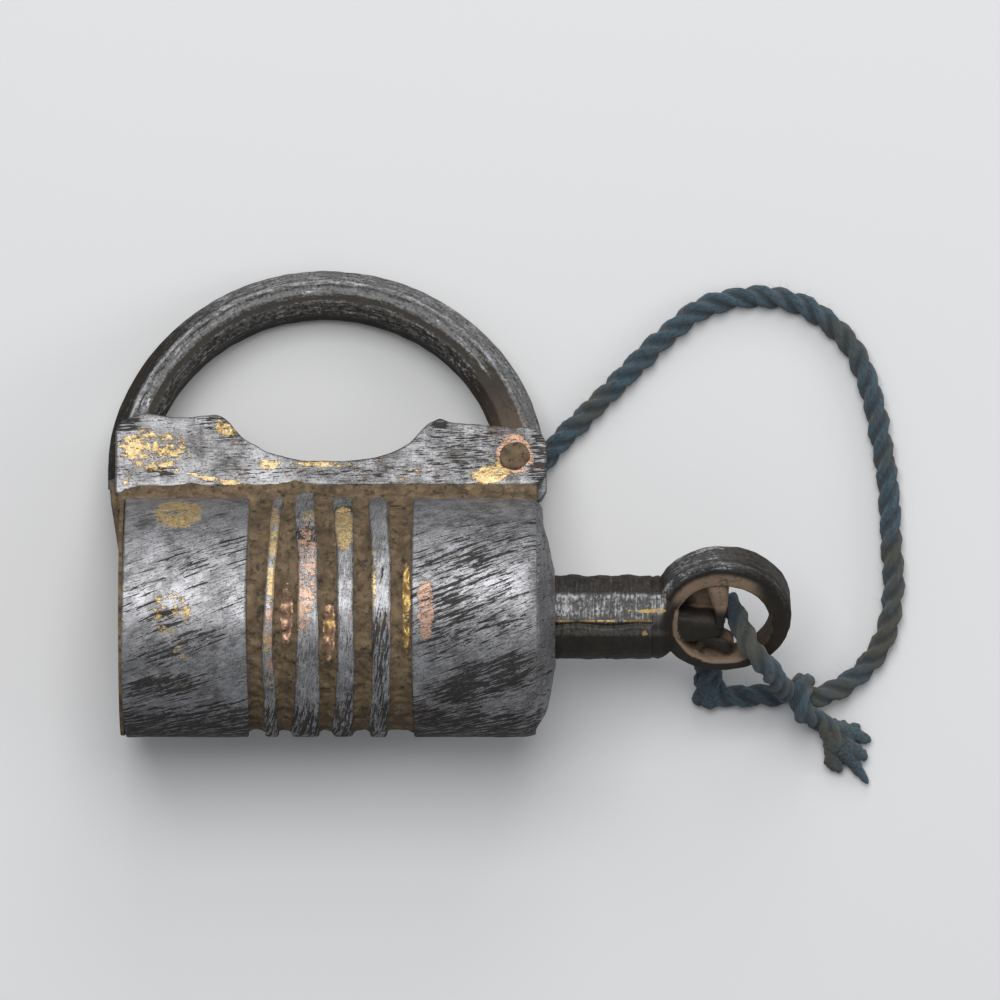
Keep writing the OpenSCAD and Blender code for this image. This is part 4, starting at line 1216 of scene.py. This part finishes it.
class PADLOCK_OT_shackle(bpy.types.Operator):
    """The forged bow with its hinge eye, and the tongue that the bolt goes through"""
    bl_idname = "padlock.shackle"
    bl_label = "Shackle"

    def execute(self, context):
        grids = [(self.bow(), False, True), (self.eye(), True, True)]
        bow = shell("shackle_bow_iron", grids, shackle_fields)
        finish_piece(bow, "shackle", "shackle", "dark_iron", "shackle")
        tongue = shell("shackle_tongue", self.tongue(), shackle_fields)
        finish_piece(tongue, "shackle", "shackle", "dark_iron")
        return {"FINISHED"}

    @staticmethod
    def bow():
        """A half-worn octagon carried round the bow's arc, from inside the eye to the left foot.

        Its outer and inner edges are two circles whose middles differ a little, as the forging does.
        """
        deep, wide = rounded_loop([(0, 1.2), (3.2, 4.5), (7.4, 4.5), (9, 2.5), (9, -2.5), (7.4, -4.5),
                                   (3.2, -4.5), (0, -1.2)], 96, 1)
        turn = np.linspace(math.radians(4.5), math.radians(181.2), 300)
        outer_r, inner_r, bar = 44.3, 35.54, 9
        outer = outer_r - 0.5 * ease(turn, math.radians(166), math.radians(180))
        inner = inner_r - 0.2 * np.cos(turn) - 0.5 * np.sin(turn)
        share = deep[None, :] / bar
        radius = outer[:, None] * (1 - share) + inner[:, None] * share
        x = BOW_X + radius * np.cos(turn)[:, None]
        u = BOW_U + radius * np.sin(turn)[:, None]
        w = wide[None, :] * (1 + 0 * turn[:, None])
        points = place(x, u, w)
        bump = dents(points, (0.08, 0.03, 81), (0.05, 0.004, 82))
        radius = radius + bump * (0.5 - share) * 2
        w = w * (1 + 0.02 * ripples(points, 0.012, 83) - 0.02)
        return place(BOW_X + radius * np.cos(turn)[:, None], BOW_U + radius * np.sin(turn)[:, None], w)

    @staticmethod
    def eye():
        """The hinge eye: a thick washer with rounded rims about the rivet."""
        r_out, r_in, half = 5.95, 2.58, 4.45
        loop = np.array([(r_in, -half + 0.3), (r_in + 0.3, -half), (r_out - 0.7, -half), (r_out, -half + 0.7),
                         (r_out, half - 0.7), (r_out - 0.7, half), (r_in + 0.3, half), (r_in, half - 0.3)])
        a = full_turn(96)[:, None]
        return place(RIVET_X + loop[None, :, 0] * np.cos(a), RIVET_U + loop[None, :, 0] * np.sin(a),
                     loop[None, :, 1] + 0 * a)

    @staticmethod
    def tongue():
        """The locking tongue, curved about the rivet: a block above the pin's hole, a collar and a tip."""
        half, half_u, tip_u = 3.38, 3.2, 12.1
        outer, inner = RIVET_X + 1.05, RIVET_X - 5.85

        def block(low, high, rows):
            u = np.linspace(low, high, rows)
            rise = (u - RIVET_U) ** 2
            tip = 1 - ease(u, tip_u, 14.2)
            x, w = rounded_section(RIVET_X - np.sqrt(outer ** 2 - rise) + tip,
                                   RIVET_X - np.sqrt(inner ** 2 - rise) - tip, -half, half, 0.6, 6, 6)
            return place(x, u[:, None], w * (1 - 0.25 * tip[:, None]))

        a = full_turn(96)[:, None]
        out = np.minimum(half_u / np.maximum(np.abs(np.cos(a)), 1e-6),
                         half / np.maximum(np.abs(np.sin(a)), 1e-6))
        t = np.array([[0, 0.5, 1, 1, 1, 0.5, 0, 0]])
        share = np.array([[0, 0, 0, 0.5, 1, 1, 1, 0.5]])
        radius = PIN_HOLE_R + (out - PIN_HOLE_R) * t
        u = PIN_U + radius * np.cos(a)
        rise = (u - RIVET_U) ** 2
        x = RIVET_X - np.sqrt(outer ** 2 - rise) * (1 - share) - np.sqrt(inner ** 2 - rise) * share
        collar = place(x, u, radius * np.sin(a))
        return [(block(PIN_U + half_u - 0.1, RIVET_U + 4.5, 40), False, True), (collar, True, True),
                (block(tip_u, PIN_U - half_u + 0.1, 16), False, True)]


# ---- the key: its bow lies in a plane turned about the key's axis ----
BOW_TURN = math.radians(38)
RING_X, RING_V, RING_R = KEY_TO + 14.03, 2.16, 13.8
HOLE_V, HOLE_R = 0.45, 9.5
RIM_HALF, FLOOR_T = 3.25, 2.0


def place_key(x, v, n):
    """Points of the key's own frame: x along it, v across it in its bow's plane and n out of that plane."""
    x, v, n = np.broadcast_arrays(x, v, n)
    c, s = math.cos(BOW_TURN), math.sin(BOW_TURN)
    return ORIGIN + MM * np.stack([x, v * c - n * s, v * s + n * c], -1)


def key_fields(vertices):
    """worn where hands rub the key, with painted highlights on the tube and the bow's upper rim, and tan on
    the bow's inner faces; braze along the seam of the tube.
    """
    d = (vertices - ORIGIN) / MM
    c, s = math.cos(BOW_TURN), math.sin(BOW_TURN)
    x, v, n = d[:, 0], d[:, 1] * c + d[:, 2] * s, d[:, 2] * c - d[:, 1] * s
    ring = np.hypot(x - RING_X, v - RING_V)
    hole = np.hypot(x - RING_X, v - HOLE_V)
    on_bow = ease(x, KEY_TO + 2, KEY_TO + 5)
    face = ease(n, 1.5, 2.9) * on_bow
    upper_face = face * ease(v, 4.5, 8) * (1 - ease(ring, RING_R - 3.3, RING_R - 2.3))
    upper_face = upper_face * (1 - ease(x, KEY_TO + 19, KEY_TO + 23))
    inner_side = (np.abs(hole - HOLE_R) < 0.5) * on_bow * (1 - 0.75 * ease(x, KEY_TO + 17, KEY_TO + 21))
    within = (hole < HOLE_R - 0.4) * on_bow
    hollow = within * (1 - ease(n, -1.2, -0.7)) * (1 - ease(x, KEY_TO + 13.4, KEY_TO + 13.8))
    hollow = np.maximum(hollow, 0.8 * within * (1 - ease(v, -5, -3)) * (1 - ease(n, 1, 2.2)))
    cusp = within * ease(v, 2.5, 5) * ease(x, KEY_TO + 10, KEY_TO + 11)
    tan = np.maximum(np.maximum(inner_side, upper_face), np.maximum(hollow, cusp))
    # rim: the bow's upper front edge rubbed to silver and lighter towards the left, partly wear and partly
    # painted highlight
    rim = ease(ring, RING_R - 2.3, RING_R - 1.0) * ease(n, 2.0, 3.0) * ease(v, 1, 7)
    rim = rim * (1 - 0.6 * ease(x, KEY_TO + 14, KEY_TO + 22))
    on_top = (d[:, 2] > 0) * (1 - on_bow)
    seam_end, seam_gap, line_start, blob_x = 107, 99.4, 100.4, 104.8
    # rubbed: painted highlight bands on the tube, just above its axis and just below its seam, and a lighter
    # strip along its top, laid over wear from rubbing hands
    rubbed = 0.12 * np.exp(-((d[:, 1] - 1.2) / 1.3) ** 2) + 0.5 * np.exp(-((d[:, 1] + 3.2) / 0.7) ** 2)
    rubbed = (rubbed + 0.3 * ease(d[:, 1], 3, 6)) * on_top
    seam = np.exp(-((d[:, 1] + 0.75) / 0.42) ** 2) * on_top * (1 - ease(x, seam_end, seam_end + 0.5))
    seam = seam * (1 - 0.9 * (np.abs(x - seam_gap) < 0.7))
    top_line = np.exp(-((d[:, 1] - 1.3) / 0.55) ** 2) * on_top * ease(x, line_start, 101.6)
    blob = 1.15 * np.exp(-((x - blob_x) / 1.1) ** 2 - ((d[:, 1] + 3.1) / 0.9) ** 2) * (d[:, 2] > 0)
    outside = ease(ring, RING_R - 1, RING_R - 0.3) * (1 - face) * on_bow
    outside = outside * (0.42 + 0.35 * (1 - ease(x, KEY_TO + 8, KEY_TO + 18)))
    round_bow = np.stack([12 * np.arctan2(v - RING_V, x - RING_X), n, ring], -1)
    round_tube = np.stack([KEY_R * np.arctan2(d[:, 2], d[:, 1]), x, 0 * x], -1)
    grain = np.where((on_bow > 0.5)[:, None], round_bow, round_tube)
    brass = np.maximum(np.maximum(0.9 * seam, 0.95 * top_line), blob)
    return {"worn": rubbed + 0.85 * rim + outside, "tan": tan, "grain": grain, "brass": brass,
            "copper": 0 * x, "soot": 0 * x}


# the bow's bars: both ends as (x past the tube, v), half widths there, half thickness, dents' seed, bend
BOW_BARS = [
    ((2.0, -1.3), (14.4, -1.3), 4.2, 2.9, 3.1, 101, 0.0),   # the web that the stem sends into the bow
    ((13.4, -0.6), (12.4, 10.6), 0.9, 2.7, 3.0, 103, -0.7),  # from the web's end up to the rim's cusp
    ((10.3, -3.4), (8.0, -9.6), 0.8, 0.9, 1.9, 105, 0.4),   # the low ridge between the two lower hollows
    ((9.0, -3.4), (16.2, -7.2), 1.2, 1.8, 2.6, 107, 0.5),   # the web's lower edge, drawn out along the rim
]


class PADLOCK_OT_key(bpy.types.Operator):
    """The screw key: a seamed tube with a round bow, which a web, a strut, a ridge and a curl divide"""
    bl_idname = "padlock.key"
    bl_label = "Key"

    def execute(self, context):
        tube = shell("key_seamed_tube", [(self.tube(), True, True)], key_fields)
        finish_piece(tube, "key", "key", "dark_iron", "key_tube")
        grids = [(self.rim(), True, True), (self.stem(), False, True)]
        grids += [(self.bar(*bar), False, True) for bar in BOW_BARS]
        grids += [(self.floor(), False, True)]
        bow = shell("key_bow_strap", grids, key_fields)
        finish_piece(bow, "key", "key", "dark_iron", "key_bow")
        return {"FINISHED"}

    @staticmethod
    def tube():
        """The rolled tube, turned about the axis, with its seam as a groove and dents outside the lock."""
        seam_y = -1.6
        ends = 0.3
        outside = np.linspace(KEY_FROM + ends, KEY_TO - ends, 170)
        x = np.concatenate([[KEY_FROM], outside, [KEY_TO, KEY_TO, KEY_FROM]])
        r = np.concatenate([[KEY_R - ends], np.full(170, KEY_R), [KEY_R - ends, KEY_BORE_R, KEY_BORE_R]])
        level = full_turn(240)[:, None]
        out = r > KEY_R - 0.01
        free = ease(x, DOME_END - 1, DOME_END + 1) * out
        points = place_round(x, r, level)
        off = (level - math.acos(seam_y / KEY_R)) * KEY_R + 0.25 * np.sin(x * 0.5)
        groove = -0.7 * np.exp(-(off / 0.45) ** 2) + 0.12 * np.exp(-((off + 0.9) / 0.4) ** 2) * free
        bump = free * (dents(points, (0.10, 0.006, 85), (0.05, 0.002, 86)) - 0.05)
        return place_round(x, r + out * groove + bump, level)

    @staticmethod
    def rim():
        """The bow's rim: at each angle its section runs from the off-centre hole out to the round outside."""
        a = full_turn(260)
        shift = HOLE_V - RING_V
        along = shift * np.sin(a)
        low = along + np.sqrt(along ** 2 + HOLE_R ** 2 - shift ** 2)
        r, n = rounded_section(low, np.full(260, RING_R), -RIM_HALF, RIM_HALF, 0.75, 9, 10)
        points = place_key(RING_X + r * np.cos(a)[:, None], RING_V + r * np.sin(a)[:, None], n)
        r = r + 0.07 * ripples(points, 0.012, 95) + 0.05 * ripples(points, 0.0025, 94)
        n = n * (1 + 0.05 * ripples(points, 0.008, 96) - 0.03)
        return place_key(RING_X + r * np.cos(a)[:, None], RING_V + r * np.sin(a)[:, None], n)

    @staticmethod
    def stem():
        """From the tube's round end to the flat root of the bow: an oval that narrows along the key."""
        stations = np.array([(0, 8.1, 8.1), (1.2, 8.5, 8.2), (2.2, 8.1, 7.0), (3.4, 7.4, 4.9),
                             (4.4, 6.8, 3.4), (5.2, 6.0, 2.9)])
        t = np.linspace(0, stations[-1, 0], 40)
        half_v = through(t, stations[:, 0], stations[:, 1])[:, None]
        half_n = through(t, stations[:, 0], stations[:, 2])[:, None]
        a = full_turn(96)[None, :]
        power = 0.7 + 0.3 * (1 - ease(t, 1, 4))[:, None]
        v = half_v * np.sign(np.cos(a)) * np.abs(np.cos(a)) ** power
        n = half_n * np.sign(np.sin(a)) * np.abs(np.sin(a)) ** power
        x = KEY_TO + t[:, None] + 0 * a
        bump = 1 + 0.02 * ripples(place_key(x, v, n), 0.006, 87)
        return place_key(x, v * bump, n * bump)

    @staticmethod
    def bar(start, end, half_start, half_end, half_n, seed, bend):
        """A round-edged bar of the bow between two points of its plane.

        Its width eases from one half width to the other, and bend bows it out to its left.
        """
        start, end = (np.array((KEY_TO + x, v)) for x, v in (start, end))
        t = 1 - (1 - np.linspace(0, 1, 60)) ** 1.6
        way = (end - start) / np.linalg.norm(end - start)
        nose = np.sqrt(1 - 0.97 * t ** 10)
        half = (half_start + (half_end - half_start) * ease(t, 0, 1) - 0.25 * np.sin(np.pi * t)) * nose
        corner = np.minimum(0.75 * half, 1.9)[:, None]
        side, n = rounded_section(-half, half, -half_n, half_n, corner, 6, 8)
        n = n * (0.4 + 0.6 * nose)[:, None]
        side = side + bend * np.sin(np.pi * t)[:, None]
        middle = start + (end - start) * t[:, None]
        x = middle[:, :1] - way[1] * side
        v = middle[:, 1:] + way[0] * side
        points = place_key(x, v, n)
        bump = 0.12 * ripples(points, 0.005, seed)
        n = n * (1 + 0.04 * ripples(points, 0.006, seed + 1))
        return place_key(x + bump * way[1], v + bump * way[0], n)

    @staticmethod
    def floor():
        """The floor of the hollows beside the web: set back, uneven, and ending at the strut."""
        reach = HOLE_R + 0.6
        x = RING_X + np.linspace(0.15 - reach, -0.8, 60)
        half = np.sqrt(reach ** 2 - (x - RING_X) ** 2)
        v, n = rounded_section(HOLE_V - half, HOLE_V + half, 0.1 - RIM_HALF, FLOOR_T - RIM_HALF, 0.4, 40, 2)
        points = place_key(x[:, None], v, n)
        front = ease(n, 1 - RIM_HALF, 1.6 - RIM_HALF)
        return place_key(x[:, None], v, n + front * dents(points, (0.3, 0.006, 109), (0.08, 0.002, 110)))


class PADLOCK_OT_works(bpy.types.Operator):
    """The bolt works inside the barrel and every solid that is kept as it was made"""
    bl_idname = "padlock.works"
    bl_label = "Works"

    def execute(self, context):
        kept = {"rust": ("barrel_tube", "left_end_cap", "saddle_block"),
                "works": ("key_guide_sleeve", "pin_guide_plate", "thrust_plate", "bolt_carrier",
                          "locking_pin", "worm_post"),
                "key": ("key_plug",)}
        for key, nodes in kept.items():
            for node in nodes:
                piece = frame["nodes"][node]
                piece.data.materials.clear()
                piece.data.materials.append(material(key))
        self.thread()
        self.spring()
        return {"FINISHED"}

    @staticmethod
    def thread():
        """The worm post's thread: a wire wound right-handed on it at the key's pitch, in the key's tube."""
        wire_r, pitch = 1.1, 4.0
        low, high = span("thrust_plate")[1] + 1.6, span("worm_post")[1] - 1.5
        t = np.linspace(0, 1, 300)
        path = place_round(low + (high - low) * t, half_height("worm_post") + 0.8,
                           2 * np.pi * (high - low) / pitch * t)
        coil = shell("worm_thread", [(wire(path, wire_r * MM), False, True)])
        finish_piece(coil, "bolt", "works", "dark_iron")

    @staticmethod
    def spring():
        """A coil about the barrel's axis; its ends lie flat."""
        x0, x1 = span("bolt_spring")
        wire_r, coil_r, turns = 0.8, 7.6, 5
        t = np.linspace(0, 1, 420)
        x = x0 + wire_r + (x1 - x0 - 2 * wire_r) * ease(t, -0.06, 1.06)
        path = place_round(x, coil_r, 2 * np.pi * turns * t)
        coil = shell("bolt_spring_coil", [(wire(path, wire_r * MM, 12), False, True)])
        coil.data.materials.append(material("works"))
        start, end = place(x1, 0, 0), place(x0, 0, 0)
        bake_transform(coil)
        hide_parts("bolt_spring")


def main():
    """Registers the add-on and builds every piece."""
    register()
    bpy.ops.padlock.camera()
    bpy.ops.padlock.cord()
    bpy.ops.padlock.stage()
    bpy.ops.padlock.bands()
    bpy.ops.padlock.rings()
    bpy.ops.padlock.grooves()
    bpy.ops.padlock.dome()
    bpy.ops.padlock.cheeks()
    bpy.ops.padlock.neck()
    bpy.ops.padlock.rivet()
    bpy.ops.padlock.shackle()
    bpy.ops.padlock.key()
    bpy.ops.padlock.works()


OPERATORS = [PADLOCK_OT_camera, PADLOCK_OT_cord, PADLOCK_OT_stage, PADLOCK_OT_bands, PADLOCK_OT_rings,
             PADLOCK_OT_grooves, PADLOCK_OT_dome, PADLOCK_OT_cheeks, PADLOCK_OT_neck, PADLOCK_OT_rivet,
             PADLOCK_OT_shackle, PADLOCK_OT_key, PADLOCK_OT_works]


class PADLOCK_PT_panel(bpy.types.Panel):
    """The padlock's pieces, sizes and colours"""
    bl_idname = "PADLOCK_PT_panel"
    bl_label = "Screw-key padlock"
    bl_space_type = "VIEW_3D"
    bl_region_type = "UI"
    bl_category = "Padlock"

    def draw(self, context):
        for group in (sizes(), colours()):
            for key in group.__annotations__:
                self.layout.prop(group, key)
        for operator in OPERATORS:
            self.layout.operator(operator.bl_idname)


CLASSES = [PadlockSizes, PadlockColours, *OPERATORS, PADLOCK_PT_panel]


def register():
    for cls in CLASSES:
        bpy.utils.register_class(cls)
    bpy.types.Scene.padlock_sizes = PointerProperty(type=PadlockSizes)
    bpy.types.Scene.padlock_colours = PointerProperty(type=PadlockColours)


def unregister():
    del bpy.types.Scene.padlock_colours
    del bpy.types.Scene.padlock_sizes
    for cls in reversed(CLASSES):
        bpy.utils.unregister_class(cls)


if __name__ == "__main__":
    main()
